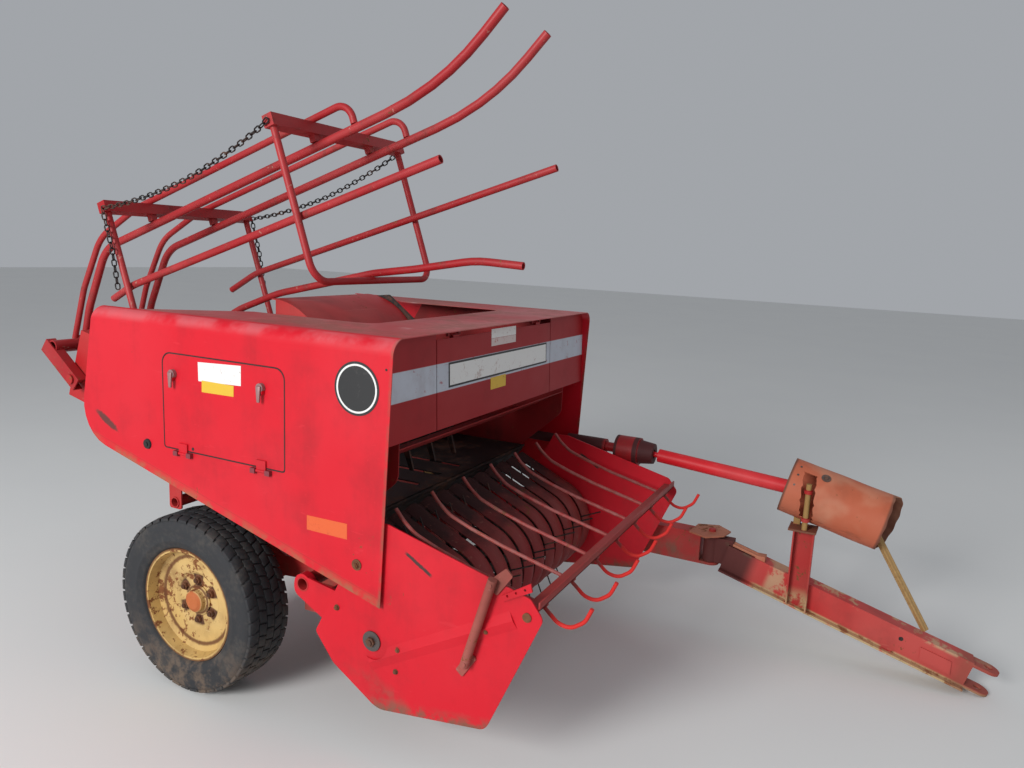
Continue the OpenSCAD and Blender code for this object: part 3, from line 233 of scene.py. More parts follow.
def sideMarks(r, x, y, z, cloudy, fine):
    above = z - y * sideEdge["slope"] - sideEdge["low"]
    worn = r.noise(13, 6, 0.7).ramp(0.36, 0.62)
    # the pink band along the top bend is a painted highlight of the bend, patchy
    dustAndHighlight = (z.ramp(1.325, 1.352) * (1 - z.ramp(1.3665, 1.369))) * cloudy.ramp(0.35, 0.6)
    scrape = (((y - 0.403) / 0.060).length((z - 0.952 - (y - 0.403) * 0.5) / 0.017) + (fine - 0.5) * 0.9)
    front = y + 0.870 - (z * -1 + 1.370) * 0.0384
    return [((1 - above.ramp(0.0, sideEdge["strip"])) * worn, (0.33, 0.105, 0.055)),
            # thin dark line along the fold of the lower flange: painted shade in the crease
            (above.band(sideEdge["fold"], sideEdge["fold"] + 0.002, 0.002) * 0.45, (0.22, 0.03, 0.025)),
            ((1 - front.ramp(0.003, 0.014)) * worn * 0.8, (0.24, 0.075, 0.05)),
            (dustAndHighlight * 0.40, (0.66, 0.20, 0.22)),
            ((1 - scrape.ramp(0.75, 1.15)) * 0.9, (0.075, 0.035, 0.03))]


def coverMarks(r, x, y, z, cloudy, fine):
    stains = (r.noise(3.4, 5, 0.7) * 0.7 + r.noise(19, 5, 0.7) * 0.3).ramp(0.44, 0.60)
    return [(stains * 0.65, (0.30, 0.11, 0.085)), (r.noise(5.5, 4, 0.65).ramp(0.60, 0.72) * 0.7, (0.62, 0.34, 0.33))]


def plateMarks(r, x, y, z, cloudy, fine):
    above = z + y * 0.1487 - 0.0545
    along = (y + 0.9655) * 0.867 + (z - 0.6985) * 0.499
    across = (y + 0.9655) * 0.499 - (z - 0.6985) * 0.867
    scuff = (1 - along.size().ramp(0.045, 0.060)) * (1 - (across.size() + (fine - 0.5) * 0.010).ramp(0.004, 0.007))
    return [((1 - above.ramp(0.0, 0.050)) * r.noise(16, 6, 0.7).ramp(0.38, 0.60), (0.20, 0.075, 0.05)), (scuff, (0.06, 0.03, 0.028)),
            (r.noise(3.0, 5, 0.7).ramp(0.60, 0.75) * 0.5, (0.36, 0.03, 0.03))]


def bandMarks(r, x, y, z, cloudy, fine):
    # bands near black above about z 0.6, with a wavy border
    nearBlackAbove = (z + (cloudy - 0.5) * 0.16).ramp(0.565, 0.640)
    return [(nearBlackAbove * 0.9, (0.028, 0.014, 0.014)), (r.noise(60, 4, 0.7).ramp(0.62, 0.70) * 0.5, (0.30, 0.12, 0.09))]


def guardMarks(r, x, y, z, cloudy, fine):
    hooks = 1 - y.ramp(-1.378, -1.370)
    rods = y.ramp(-1.330, -1.300) * r.noise(30, 5, 0.7).ramp(0.38, 0.60)
    return [(hooks * 0.9, (0.62, 0.020, 0.016)), (rods * 0.55, (0.30, 0.13, 0.12))]


beamSlope = radians(15.6)


def beamMarks(r, x, y, z, cloudy, fine):
    up = (z - 0.368) * cos(beamSlope) - (y + 1.530) * sin(beamSlope)
    along = (y + 1.530) * -cos(beamSlope) - (z - 0.368) * sin(beamSlope)
    patchy = r.noise(11, 6, 0.7)
    flange = (1 - up.ramp(-0.052, -0.040)) * along.ramp(0.20, 0.24)
    edge = up.ramp(0.044, 0.058) * patchy.ramp(0.50, 0.58)
    weld = (1 - (along - 0.335).size().ramp(0.055, 0.085)) * patchy.ramp(0.40, 0.50)
    return [(flange * patchy.ramp(0.34, 0.48), (0.50, 0.36, 0.19)), (flange * patchy.ramp(0.56, 0.64) * 0.9, (0.26, 0.10, 0.04)),
            (edge.peak(weld) * 0.75, (0.52, 0.37, 0.22)), ((1 - along.ramp(0.16, 0.22)) * 0.85, (0.045, 0.022, 0.02)),
            (along.ramp(1.00, 1.06) * 0.6, (0.24, 0.075, 0.05))]


def postMarks(r, x, y, z, cloudy, fine):
    spindle = z.ramp(0.552, 0.556) * (1 - z.band(0.588, 0.606, 0.002)) * (1 - z.band(0.708, 0.726, 0.002))
    return [(spindle, (0.34, 0.20, 0.07)), (z.band(0.5435, 0.5535, 0.001) * 0.9, (0.15, 0.07, 0.04)),
            ((1 - z.ramp(0.23, 0.30)) * r.noise(16, 6, 0.7).ramp(0.40, 0.55), (0.45, 0.30, 0.16))]


def canMarks(r, x, y, z, cloudy, fine):
    slope = radians(13.5)
    along = (y + 1.820) * -cos(slope) - (z - 0.712) * sin(slope)
    streak = r.noise(15, 5, 0.7, stretch=(1, 0.22, 1)).ramp(0.58, 0.70)
    return [(streak * 0.55, (0.13, 0.045, 0.03)), ((1 - along.ramp(0.004, 0.012)).peak(along.ramp(0.386, 0.396)) * 0.8, (0.10, 0.05, 0.035)),
            (r.noise(4.5, 3).ramp(0.50, 0.68) * 0.45, (0.58, 0.30, 0.19))]


def rimMarks(r, x, y, z, cloudy, fine):
    radius = y.length(z - 0.330)
    turn = ((z - 0.330).maths("ARCTAN2", y) * (3 / pi)).maths("FRACT")
    wobble = (fine - 0.5) * 0.5
    nuts = (1 - ((turn - 0.5).size() + wobble * 0.25).ramp(0.19, 0.30)) * (radius + wobble * 0.02).band(0.054, 0.097, 0.005)
    rings = (radius + wobble * 0.014).band(0.158, 0.172, 0.004).peak((radius + wobble * 0.012).ramp(0.200, 0.207)).peak(radius.band(0.046, 0.054, 0.003))
    return [(nuts, (0.075, 0.032, 0.018)), (rings * 0.9, (0.12, 0.045, 0.02)), (1 - radius.ramp(0.034, 0.042), (0.45, 0.13, 0.045))]


def clutchMarks(r, x, y, z, cloudy, fine):
    dark = (y * -1).band(1.150, 1.172, 0.003).peak((y * -1).band(1.062, 1.076, 0.003)).peak((y * -1).ramp(1.172, 1.178)).peak(1 - (y * -1).ramp(0.99, 1.012))
    return [(dark * 0.85, (0.028, 0.018, 0.018))]


def rodMarks(r, x, y, z, cloudy, fine):
    return [(r.noise(13, 5, 0.7).ramp(0.55, 0.70) * 0.6, (0.15, 0.035, 0.028)), (r.noise(45, 4, 0.7).ramp(0.64, 0.70) * 0.7, (0.40, 0.22, 0.17))]


# steel parts without paint, from dark and oily to bare rust
def bareSteel(name, base, rust, amount=0.5, rough=0.55, metal=0.6, scale=30):
    r = Recipe(name)
    broad = r.noise(5, 4)
    grain = r.noise(scale, 6, 0.7)
    pitted = (broad * 0.5 + grain * 0.5).ramp(0.62 - 0.3 * amount, 0.72 - 0.2 * amount)
    colour = r.mix(pitted, base, r.mix(r.noise(90, 4), rust[0], rust[1]))
    return r.finish(colour, rough + pitted * 0.25, grain * 0.6 + pitted * 0.4, 0.35, 0.0015, metal=metal - pitted * metal * 0.8)


def rubber(name, base, dustAndHighlight):
    r = Recipe(name)
    x, y, z = r.axes()
    dust = (r.noise(7, 5) * 0.6 + r.noise(60, 5) * 0.4).ramp(0.45, 0.72)
    colour = r.mix(dust * 0.8, base, dustAndHighlight)
    low = (z * -1 + 0.30).ramp(0.0, 0.28) * r.noise(18, 6, 0.7).ramp(0.42, 0.60)
    colour = r.mix(low * 0.7, colour, mudColour)
    return r.finish(colour, 0.78 + dust * 0.15, r.noise(120, 4), 0.18, 0.001)


paints = dict(
    body=wornPaint("bodyRed", (0.58, 0.006, 0.018), (0.62, 0.026, 0.040), (0.27, 0.009, 0.014), fade=0.45, dirt=0.62, rust=0.10,
                   mudTop=0.58, marks=sideMarks),
    cover=wornPaint("coverRed", (0.46, 0.045, 0.05), (0.56, 0.20, 0.20), (0.30, 0.09, 0.07), fade=0.9, dirt=0.6, rust=0.2,
                    gloss=0.42, marks=coverMarks),
    # front panels and hatch: the body red at about half brightness, painted shade of the faces turned away from the key
    # lamp
    front=wornPaint("frontRedPaintedShade", (0.30, 0.006, 0.010), (0.34, 0.03, 0.03), (0.13, 0.014, 0.014), dirt=0.45, rust=0.15,
                    stripe=dict(low=1.167, high=1.261, colour=(0.52, 0.56, 0.64), shade=(0.42, 0.44, 0.48))),
    inside=wornPaint("insideRed", (0.26, 0.008, 0.010), (0.32, 0.03, 0.03), (0.07, 0.018, 0.014), dirt=0.9, rust=0.5, gloss=0.5),
    shield=wornPaint("shieldRed", (0.42, 0.010, 0.014), (0.50, 0.09, 0.08), (0.15, 0.03, 0.025), fade=0.6, dirt=0.6, rust=0.4),
    frame=wornPaint("frameRed", (0.40, 0.012, 0.014), (0.44, 0.07, 0.06), (0.13, 0.04, 0.03), dirt=0.7, rust=0.6, gloss=0.45, mudTop=0.5),
    pickup=wornPaint("pickupRed", (0.58, 0.006, 0.018), (0.60, 0.024, 0.036), (0.26, 0.010, 0.014), fade=0.45, dirt=0.62, rust=0.12,
                     mudTop=0.30, marks=plateMarks),
    adjuster=wornPaint("adjusterRust", (0.30, 0.05, 0.04), (0.40, 0.15, 0.12), (0.11, 0.05, 0.035), fade=0.7, dirt=0.8, rust=0.9, gloss=0.55),
    band=wornPaint("bandMaroon", (0.20, 0.014, 0.016), (0.26, 0.06, 0.05), (0.07, 0.020, 0.018), fade=0.7, dirt=0.7, rust=0.45,
                   gloss=0.42, marks=bandMarks),
    guard=wornPaint("guardRed", (0.30, 0.030, 0.028), (0.36, 0.09, 0.07), (0.10, 0.03, 0.025), fade=0.7, dirt=0.7, rust=0.5, marks=guardMarks),
    chute=wornPaint("chuteRed", (0.33, 0.010, 0.014), (0.40, 0.05, 0.05), (0.13, 0.018, 0.018), fade=0.7, dirt=0.5, rust=0.30, marks=rodMarks),
    drawbar=wornPaint("drawbarRed", (0.50, 0.010, 0.012), (0.54, 0.12, 0.10), (0.16, 0.035, 0.028), fade=0.6, dirt=0.5, rust=0.35,
                      gloss=0.45, marks=beamMarks),
    post=wornPaint("postRed", (0.40, 0.014, 0.014), (0.44, 0.10, 0.08), (0.15, 0.06, 0.04), dirt=0.7, rust=0.5, gloss=0.45, marks=postMarks),
    tube=wornPaint("tubeRed", (0.62, 0.010, 0.018), (0.64, 0.09, 0.09), (0.32, 0.03, 0.03), fade=0.5, dirt=0.4, rust=0.10),
    clutch=wornPaint("clutchRed", (0.34, 0.012, 0.016), (0.40, 0.05, 0.045), (0.12, 0.02, 0.02), dirt=0.6, rust=0.3, marks=clutchMarks),
    rim=wornPaint("rimOchre", (0.56, 0.36, 0.12), (0.68, 0.50, 0.24), (0.16, 0.07, 0.022), fade=0.6, dirt=0.95, rust=0.95, gloss=0.5, marks=rimMarks),
    can=wornPaint("canRust", (0.48, 0.115, 0.055), (0.50, 0.17, 0.10), (0.26, 0.080, 0.042), fade=0.8, dirt=0.6, rust=0.30, gloss=0.50, marks=canMarks),
    pivotPlate=wornPaint("pivotRust", (0.44, 0.10, 0.05), (0.46, 0.20, 0.12), (0.20, 0.08, 0.05), fade=0.8, dirt=0.7, rust=0.8, gloss=0.5),
    dark=bareSteel("darkSteel", (0.030, 0.026, 0.026), (rustDeep, (0.12, 0.065, 0.045)), 0.45),
    grey=bareSteel("greySteel", (0.11, 0.095, 0.09), (rustDeep, (0.20, 0.12, 0.09)), 0.45, rough=0.45),
    handle=bareSteel("handleSteel", (0.30, 0.17, 0.17), ((0.20, 0.06, 0.06), (0.34, 0.20, 0.18)), 0.5, rough=0.45, metal=0.3),
    nuts=bareSteel("rustyNuts", (0.09, 0.045, 0.03), (rustDeep, (0.22, 0.09, 0.04)), 0.9, rough=0.75, metal=0.2),
    gear=bareSteel("oilyIron", (0.05, 0.045, 0.045), (rustDeep, (0.10, 0.07, 0.05)), 0.35, rough=0.4),
    golden=bareSteel("goldenRust", (0.40, 0.24, 0.09), ((0.24, 0.12, 0.04), (0.50, 0.33, 0.13)), 0.8, rough=0.55, metal=0.3),
    rubber=rubber("tyreRubber", (0.020, 0.021, 0.024), (0.075, 0.066, 0.058)),
    seal=rubber("doorSeal", (0.014, 0.014, 0.014), (0.04, 0.035, 0.03)),
)

nodePaint = dict(
    body=["side_panel_right", "side_panel_left", "side_door"],
    cover=["top_cover"],
    front=["front_panel_right", "front_panel_left", "front_hatch"],
    inside=["inner_wall_right", "inner_wall_left", "rear_panel", "feed_hood", "hatch_hinge"],
    shield=["ram_shield", "bale_chamber"],
    frame=["axle_beam", "frame_rail_right", "frame_rail_left", "front_beam", "cross_tube",
           "pickup_pivot_tube", "chute_hinge", "tension_bars", "drawbar_mount"],
    pickup=["pickup_plate_right", "pickup_plate_left"], adjuster=["height_strut"],
    band=["stripper_bands"], guard=["wind_guard"],
    chute=["chute_main_rods", "chute_top_rods", "chute_side_rods", "chute_beams", "chute_hoops"],
    drawbar=["drawbar_beam"], post=["guard_post"],
    tube=["drive_tube"], clutch=["drive_clutch"], rim=["rim_right", "rim_left"], can=["shaft_guard"],
    dark=["pickup_reel", "packer_fork", "chute_chains", "shaft_yoke", "intake_deck"],
    gear=["gearbox"], golden=["profile_bar"],
)
for paint, names in nodePaint.items():
    for name in names:
        slots = nodes[name].material_slots
        for slot in slots:
            slot.material = paints[paint]
        if not len(slots):
            nodes[name].data.materials.append(paints[paint])
print("materials done:", len(paints))


# pieces
def newPiece(name, bm, body, paint, smooth=None, replaces=()):
    mesh = bpy.data.meshes.new(name)
    bm.to_mesh(mesh)
    bm.free()
    piece = bpy.data.objects.new(name, mesh)
    bpy.context.scene.collection.objects.link(piece)
    mesh.materials.append(paints[paint] if isinstance(paint, str) else paint)
    if smooth is not None:
        mesh.polygons.foreach_set("use_smooth", [True] * len(mesh.polygons))
        mesh.set_sharp_from_angle(angle=radians(smooth))
    if replaces:
        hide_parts(*replaces)
    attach(piece, body)
    return piece


def addBox(bm, low, high, bevel=0.0, turn=None):
    low, high = Vector(low), Vector(high)
    made = bmesh.ops.create_cube(bm, size=1)["verts"]
    bmesh.ops.scale(bm, vec=high - low, verts=made)
    bmesh.ops.translate(bm, vec=(low + high) / 2, verts=made)
    if turn:
        bmesh.ops.transform(bm, matrix=turn, verts=made)
    if bevel:
        edges = list({e for v in made for e in v.link_edges})
        bmesh.ops.bevel(bm, geom=edges, offset=bevel, affect="EDGES", segments=2, profile=0.5, material=-1)


def addRod(bm, start, end, radius, sides=16, radiusEnd=None, caps=True):
    start, end = Vector(start), Vector(end)
    run = end - start
    turn = Vector((0, 0, 1)).rotation_difference(run).to_matrix().to_4x4()
    place = Matrix.Translation((start + end) / 2) @ turn
    return bmesh.ops.create_cone(bm, cap_ends=caps, segments=sides, radius1=radius,
                                 radius2=radius if radiusEnd is None else radiusEnd, depth=run.length, matrix=place)["verts"]


# corner points with bend radii, [forward, up, bend], turned into a smooth line in a plane
def smoothLine(corners, step=radians(6)):
    places = [Vector(corners[0][:2])]
    for before, corner, after in zip(corners, corners[1:], corners[2:]):
        knee = Vector(corner[:2])
        back, ahead = (Vector(before[:2]) - knee).normalized(), (Vector(after[:2]) - knee).normalized()
        half = back.angle(ahead) / 2
        turn = pi - 2 * half
        centre = knee + (back + ahead).normalized() * corner[2] / sin(half)
        first, last = knee + back * corner[2] / tan(half) - centre, knee + ahead * corner[2] / tan(half) - centre
        count = max(2, ceil(turn / step))
        places += [centre + (first * sin(turn * (1 - i / count)) + last * sin(turn * i / count)) / sin(turn)
                   for i in range(count + 1)]
    return places + [Vector(corners[-1][:2])]


# round rod or tube swept along points, its ends closed or bored
def addSweep(bm, points, radius, sides=14, wall=None, bore=0.05):
    ways = [(b - a).normalized() for a, b in zip(points, points[1:])]
    side = ways[0].orthogonal().normalized()
    rings = []
    for i, place in enumerate(points):
        way = (ways[max(i - 1, 0)] + ways[min(i, len(ways) - 1)]).normalized()
        side = (side - way * side.dot(way)).normalized()
        other = way.cross(side)
        rings.append([(side * cos(2 * pi * k / sides) + other * sin(2 * pi * k / sides)) for k in range(sides)])
    rows = [[bm.verts.new(place + ray * radius) for ray in ring] for place, ring in zip(points, rings)]
    for end, way in ((0, ways[0]), (-1, -ways[-1])):
        inner = [points[end], points[end] + way * bore]
        if wall:
            row = [[bm.verts.new(place + ray * (radius - wall)) for ray in rings[end]] for place in inner]
            rows = row[::-1] + rows if end == 0 else rows + row
    for row, after in zip(rows, rows[1:]):
        for k in range(sides):
            bm.faces.new((row[k], row[(k + 1) % sides], after[(k + 1) % sides], after[k]))
    bm.faces.new(rows[0][::-1])
    bm.faces.new(rows[-1])


# flat plate with a polygon outline, standing across x or lying across z
def addPlate(bm, outline, low, high, axis="x"):
    turn = (lambda a, b, c: at(c, a, b)) if axis == "x" else (lambda a, b, c: at(a, b, c))
    face = bm.faces.new([bm.verts.new(turn(a, b, low)) for a, b in outline])
    raised = bmesh.ops.extrude_face_region(bm, geom=[face])["geom"]
    shift = turn(0, 0, high) - turn(0, 0, low)
    bmesh.ops.translate(bm, vec=shift, verts=[v for v in raised if isinstance(v, bmesh.types.BMVert)])


# hex head on a washer, standing on a face
def addBolt(bm, place, axis, size=0.008):
    place, axis = Vector(place), Vector(axis).normalized()
    addRod(bm, place, place + axis * size * 0.25, size * 1.25, 16)
    addRod(bm, place + axis * size * 0.25, place + axis * size * 0.95, size, 6)
    addRod(bm, place + axis * size * 0.95, place + axis * size * 1.25, size * 0.55, 12)


# tyre with shoulder blocks and two centre ribs
tyreSpec = dict(radius=0.330, width=0.196, bead=0.2032, base=0.3245, blocks=44, steps=96)


def tyreMesh(spec, side):
    bm = bmesh.new()
    half, radius = spec["width"] / 2, spec["base"]
    shape = [(spec["bead"], 0.068), (0.2115, 0.075), (0.2145, 0.084), (0.222, 0.090), (0.236, 0.0935), (0.240, 0.0965),
             (0.246, 0.0967), (0.250, 0.0945), (0.275, half - 0.0005), (0.296, half - 0.001), (0.308, 0.093), (0.316, 0.087), (radius, 0.076)]
    shape = [(r, -a) for r, a in shape] + [(radius, 0.0)] + [(r, a) for r, a in reversed(shape)]
    verts = [bm.verts.new((a, r, 0)) for r, a in shape]
    edges = [bm.edges.new(pair) for pair in zip(verts, verts[1:])]
    bmesh.ops.spin(bm, geom=verts + edges, cent=(0, 0, 0), axis=(1, 0, 0), angle=2 * pi, steps=spec["steps"], use_merge=True)
    bmesh.ops.recalc_face_normals(bm, faces=bm.faces)
    step = 2 * pi / spec["blocks"]
    rows = [(0.056, 0.092, 0.0, 0.80, 0.35), (0.0195, 0.053, 0.5, 0.84, -0.30), (-0.0165, 0.0165, 0.15, 0.86, 0.25),
            (-0.053, -0.0195, 0.5, 0.84, 0.30), (-0.092, -0.056, 0.0, 0.80, -0.35)]
    for low, high, phase, share, slant in rows:
        block = bmesh.new()
        wide = step * share * spec["radius"] / 2
        shoulder = abs(low + high) > 0.1
        top = spec["radius"] - 0.0012
        addBox(block, (low, 0.312 if shoulder else 0.320, -wide), (high, top, wide), 0.0016)
        for v in block.verts:
            v.co.z += (v.co.x - (low + high) / 2) * slant
            if shoulder and abs(v.co.x) > 0.080 and v.co.y > 0.32:
                v.co.y -= (abs(v.co.x) - 0.080) * 0.55
        bmesh.ops.rotate(block, cent=(0, 0, 0), matrix=Matrix.Rotation(phase * step, 3, "X"), verts=block.verts)
        bmesh.ops.spin(block, geom=block.verts[:] + block.edges[:] + block.faces[:], cent=(0, 0, 0), axis=(1, 0, 0),
                       angle=2 * pi - step, steps=spec["blocks"] - 1, use_duplicate=True)
        mesh = bpy.data.meshes.new("block")
        block.to_mesh(mesh)
        block.free()
        bm.from_mesh(mesh)
        bpy.data.meshes.remove(mesh)
    name = "tyre_right" if side < 0 else "tyre_left"
    bmesh.ops.translate(bm, vec=(middle(name, 0), middle(name, 1), middle(name, 2)), verts=bm.verts)
    return bm


for side, name in ((-1, "right"), (1, "left")):
    newPiece("tyreTread_" + name, tyreMesh(tyreSpec, side), "wheel_" + name, "rubber", smooth=38,
             replaces=["tyre_" + name])
print("tyres done")

# blank plates and stickers
def flatPaint(name, colour, worn, dirt, edge=None):
    r = Recipe(name)
    wear = (r.noise(22, 6, 0.7) * 0.6 + r.noise(120, 4) * 0.4).ramp(0.55, 0.66)
    shade = r.mix(wear * dirt, colour, worn)
    return r.finish(shade, 0.42 + wear * 0.25, r.noise(160, 3), 0.1, 0.0005)


paints.update(
    white=flatPaint("stickerWhite", (0.72, 0.72, 0.70), (0.42, 0.30, 0.27), 0.7),
    black=flatPaint("plateBlack", (0.016, 0.016, 0.017), (0.08, 0.07, 0.065), 0.5),
    torn=flatPaint("stickerTorn", (0.60, 0.50, 0.48), (0.40, 0.03, 0.03), 1.0),
    yellow=flatPaint("stickerYellow", (0.66, 0.42, 0.03), (0.36, 0.18, 0.04), 0.6),
    orange=flatPaint("patchOrange", (0.66, 0.10, 0.02), (0.50, 0.05, 0.02), 0.8))

panelX = -0.790
roundelSpec = dict(y=-0.739, z=1.21, radius=0.083, ring=0.0755, thick=0.0012)


# disc on the right panel, with a raised ring
def addDisc(bm, y, z, outer, inner, start, thick):
    rim = bmesh.ops.create_circle(bm, cap_ends=not inner, segments=64, radius=outer)["verts"]
    if inner:
        edges = list({e for v in rim for e in v.link_edges})
        hole = bmesh.ops.create_circle(bm, cap_ends=False, segments=64, radius=inner)["verts"]
        bmesh.ops.bridge_loops(bm, edges=edges + list({e for v in hole for e in v.link_edges}))
        rim = rim + hole
    faces = [f for f in bm.faces if all(v in rim for v in f.verts)]
    raised = bmesh.ops.extrude_face_region(bm, geom=faces)["geom"]
    bmesh.ops.translate(bm, vec=(0, 0, thick), verts=[v for v in raised if isinstance(v, bmesh.types.BMVert)])
    bmesh.ops.recalc_face_normals(bm, faces=bm.faces)
    bmesh.ops.transform(bm, matrix=Matrix.Translation(at(start, y, z)) @ Matrix.Rotation(-pi / 2, 4, "Y"), verts=bm.verts)


spec = roundelSpec
for name, paint, outer, inner, lift in (("roundelDisc", "black", spec["radius"], 0, 0), ("roundelRing", "white", spec["ring"], spec["ring"] - 0.006, spec["thick"])):
    bm = bmesh.new()
    addDisc(bm, spec["y"], spec["z"], outer, inner, panelX - lift, spec["thick"] if not lift else 0.0004)
    newPiece(name, bm, "body", paint)

# door: rubber seal in the gap, stickers, turn handles
doorSpec = dict(front=-0.4575, rear=0.1015, low=0.897, high=1.240, corner=0.040, seal=0.005)
stickers = [("stickerLarge", "white", [(-0.074, 1.220), (-0.270, 1.228), (-0.269, 1.161), (-0.075, 1.155)], 0.0006),
            ("stickerSmall", "yellow", [(-0.091, 1.159), (-0.237, 1.158), (-0.236, 1.121), (-0.090, 1.119)], 0.0009)]
patch = [(-0.548, 0.775), (-0.708, 0.778), (-0.709, 0.727), (-0.548, 0.727)]


# thin patch on the right panel between four corners
def addPatch(bm, corners, start, thick):
    face = bm.faces.new([bm.verts.new(at(start - thick, y, z)) for y, z in corners])
    raised = bmesh.ops.extrude_face_region(bm, geom=[face])["geom"]
    bmesh.ops.translate(bm, vec=(thick - 0.00005, 0, 0), verts=[v for v in raised if isinstance(v, bmesh.types.BMVert)])
    bmesh.ops.recalc_face_normals(bm, faces=bm.faces)


def roundedLoop(bm, y0, y1, z0, z1, corner, x, low=0.012, steps=6):
    places = []
    for cy, cz, r, start in ((y1 - corner, z1 - corner, corner, 0), (y0 + corner, z1 - corner, corner, 90),
                             (y0 + low, z0 + low, low, 180), (y1 - low, z0 + low, low, 270)):
        places += [(cy + r * cos(radians(start + 90 * i / steps)), cz + r * sin(radians(start + 90 * i / steps)))
                   for i in range(steps + 1)]
    verts = [bm.verts.new(at(x, y, z)) for y, z in places]
    return [bm.edges.new((a, b)) for a, b in zip(verts, verts[1:] + verts[:1])]


spec = doorSpec
bm = bmesh.new()
g = 0.0006
loops = [roundedLoop(bm, spec["front"] - o, spec["rear"] + o, spec["low"] - o, spec["high"] + o, spec["corner"] + o, x, 0.012 + o)
         for o, x in ((-g, panelX + 0.0025), (-g, panelX - 0.0008), (-0.0044, panelX - 0.0008), (-0.0044, panelX + 0.0025))]
for first, second in zip(loops, loops[1:] + loops[:1]):
    bmesh.ops.bridge_loops(bm, edges=first + second)
bmesh.ops.recalc_face_normals(bm, faces=bm.faces)
newPiece("doorSeal", bm, "body", "seal", smooth=40)
for name, paint, corners, thick in stickers:
    bm = bmesh.new()
    addPatch(bm, corners, panelX, thick)
    newPiece(name, bm, "door", paint)
bm = bmesh.new()
addPatch(bm, patch, panelX, 0.0005)
newPiece("orangePatch", bm, "body", "orange")

# turn handles: a round head and a tail that hangs from it
handleSpec = dict(y=(0.044, -0.360), z=1.168, head=0.0145, tail=0.048)
bm = bmesh.new()
for y in handleSpec["y"]:
    x, z = panelX - 0.012, handleSpec["z"]
    addRod(bm, at(x - 0.001, y, z), at(panelX, y, z), handleSpec["head"], 24)
    before = len(bm.verts)
    addBox(bm, at(x - 0.008, y - 0.010, z - handleSpec["tail"]), at(x - 0.001, y + 0.010, z + 0.006), 0.003)
    bm.verts.ensure_lookup_table()
    for v in bm.verts[before:]:
        down = (z - v.co.z) / handleSpec["tail"]
        v.co.y += (at(0, y, 0).y - v.co.y) * max(0.0, down) * 0.45
newPiece("doorHandles", bm, "door", "handle", smooth=40)

# name plate on the hatch, left blank, with its black border
lean = radians(2.2)
frontTop = at(0, -0.832, 1.361)
frontTurn = Matrix.Translation(frontTop) @ Matrix.Rotation(-lean, 4, "X")


def addFrontPlate(bm, x0, x1, z0, z1, thick, lift=0.0):     # z from the ground
    addBox(bm, (x0, -thick - lift, z0 - 1.361), (x1, -0.0001 - lift, z1 - 1.361), turn=frontTurn)


plates = [("namePlateBorder", "black", (-0.423, 0.375, 1.174, 1.259), 0.0008, 0), ("namePlateFace", "white", (-0.416, 0.368, 1.181, 1.252), 0.0006, 0.0008),
          ("hatchSticker", "white", (-0.120, 0.081, 1.316, 1.350), 0.0005, 0), ("hatchSticker2", "torn", (-0.120, 0.081, 1.287, 1.315), 0.0005, 0),
          ("hatchTag", "yellow", (-0.124, -0.002, 1.125, 1.170), 0.0005, 0)]
for name, paint, (x0, x1, z0, z1), thick, lift in plates:
    bm = bmesh.new()
    addFrontPlate(bm, x0, x1, z0, z1, thick, lift)
    newPiece(name, bm, "hatch", paint)
print("plates done")

# bolts of the body and of the pickup
bm = bmesh.new()
addRod(bm, at(panelX - 0.006, 0.186, 0.896), at(panelX, 0.186, 0.896), 0.017, 24, radiusEnd=0.019)
addRod(bm, at(panelX - 0.010, 0.186, 0.896), at(panelX - 0.006, 0.186, 0.896), 0.008, 6)
# dark disc for a small hole in the panel: painted shade of the hole
addRod(bm, at(panelX - 0.0006, -0.846, 1.279), at(panelX, -0.846, 1.279), 0.004, 12)
addRod(bm, at(panelX - 0.0006, -0.041, 0.912), at(panelX, -0.041, 0.912), 0.006, 12)
newPiece("panelCap", bm, "body", "seal", smooth=35)
bm = bmesh.new()
for side in (-1, 1):
    addRod(bm, at(side * 0.790, -0.748, 0.653), at(side * 0.793, -0.748, 0.653), 0.018, 24)
    addBolt(bm, at(side * 0.793, -0.748, 0.653), (side, 0, 0), 0.009)
newPiece("panelBolts", bm, "body", "nuts", smooth=35)

pickupX = -0.775
plateBolts = [(-0.660, 0.482, 0.008), (-0.900, 0.403, 0.008), (-0.892, 0.327, 0.007), (-1.205, 0.548, 0.007)]
bm = bmesh.new()
for x, out in ((pickupX, -1), (0.650, 1)):
    for y, z, size in plateBolts:
        addBolt(bm, at(x, y, z), (out, 0, 0), size)
    addRod(bm, at(x, -1.332, 0.625), at(x + out * 0.003, -1.332, 0.625), 0.014, 20)
newPiece("pickupBolts", bm, "pickup", "nuts", smooth=35)

# bearing of the reel on each plate: a big washer with a dark bolt
bearingSpec = dict(washer=0.033, bolt=0.016)
bm = bmesh.new()
for x, out in ((pickupX, -1), (0.650, 1)):
    addRod(bm, at(x, -0.800, 0.405), at(x + out * 0.005, -0.800, 0.405), bearingSpec["washer"], 32)
newPiece("reelWashers", bm, "pickup", "grey", smooth=35)
bm = bmesh.new()
for x, out in ((pickupX, -1), (0.650, 1)):
    addRod(bm, at(x + out * 0.005, -0.800, 0.405), at(x + out * 0.014, -0.800, 0.405), bearingSpec["bolt"], 6)
    addRod(bm, at(x + out * 0.014, -0.800, 0.405), at(x + out * 0.019, -0.800, 0.405), 0.009, 16)
newPiece("reelBolts", bm, "pickup", "nuts", smooth=35)

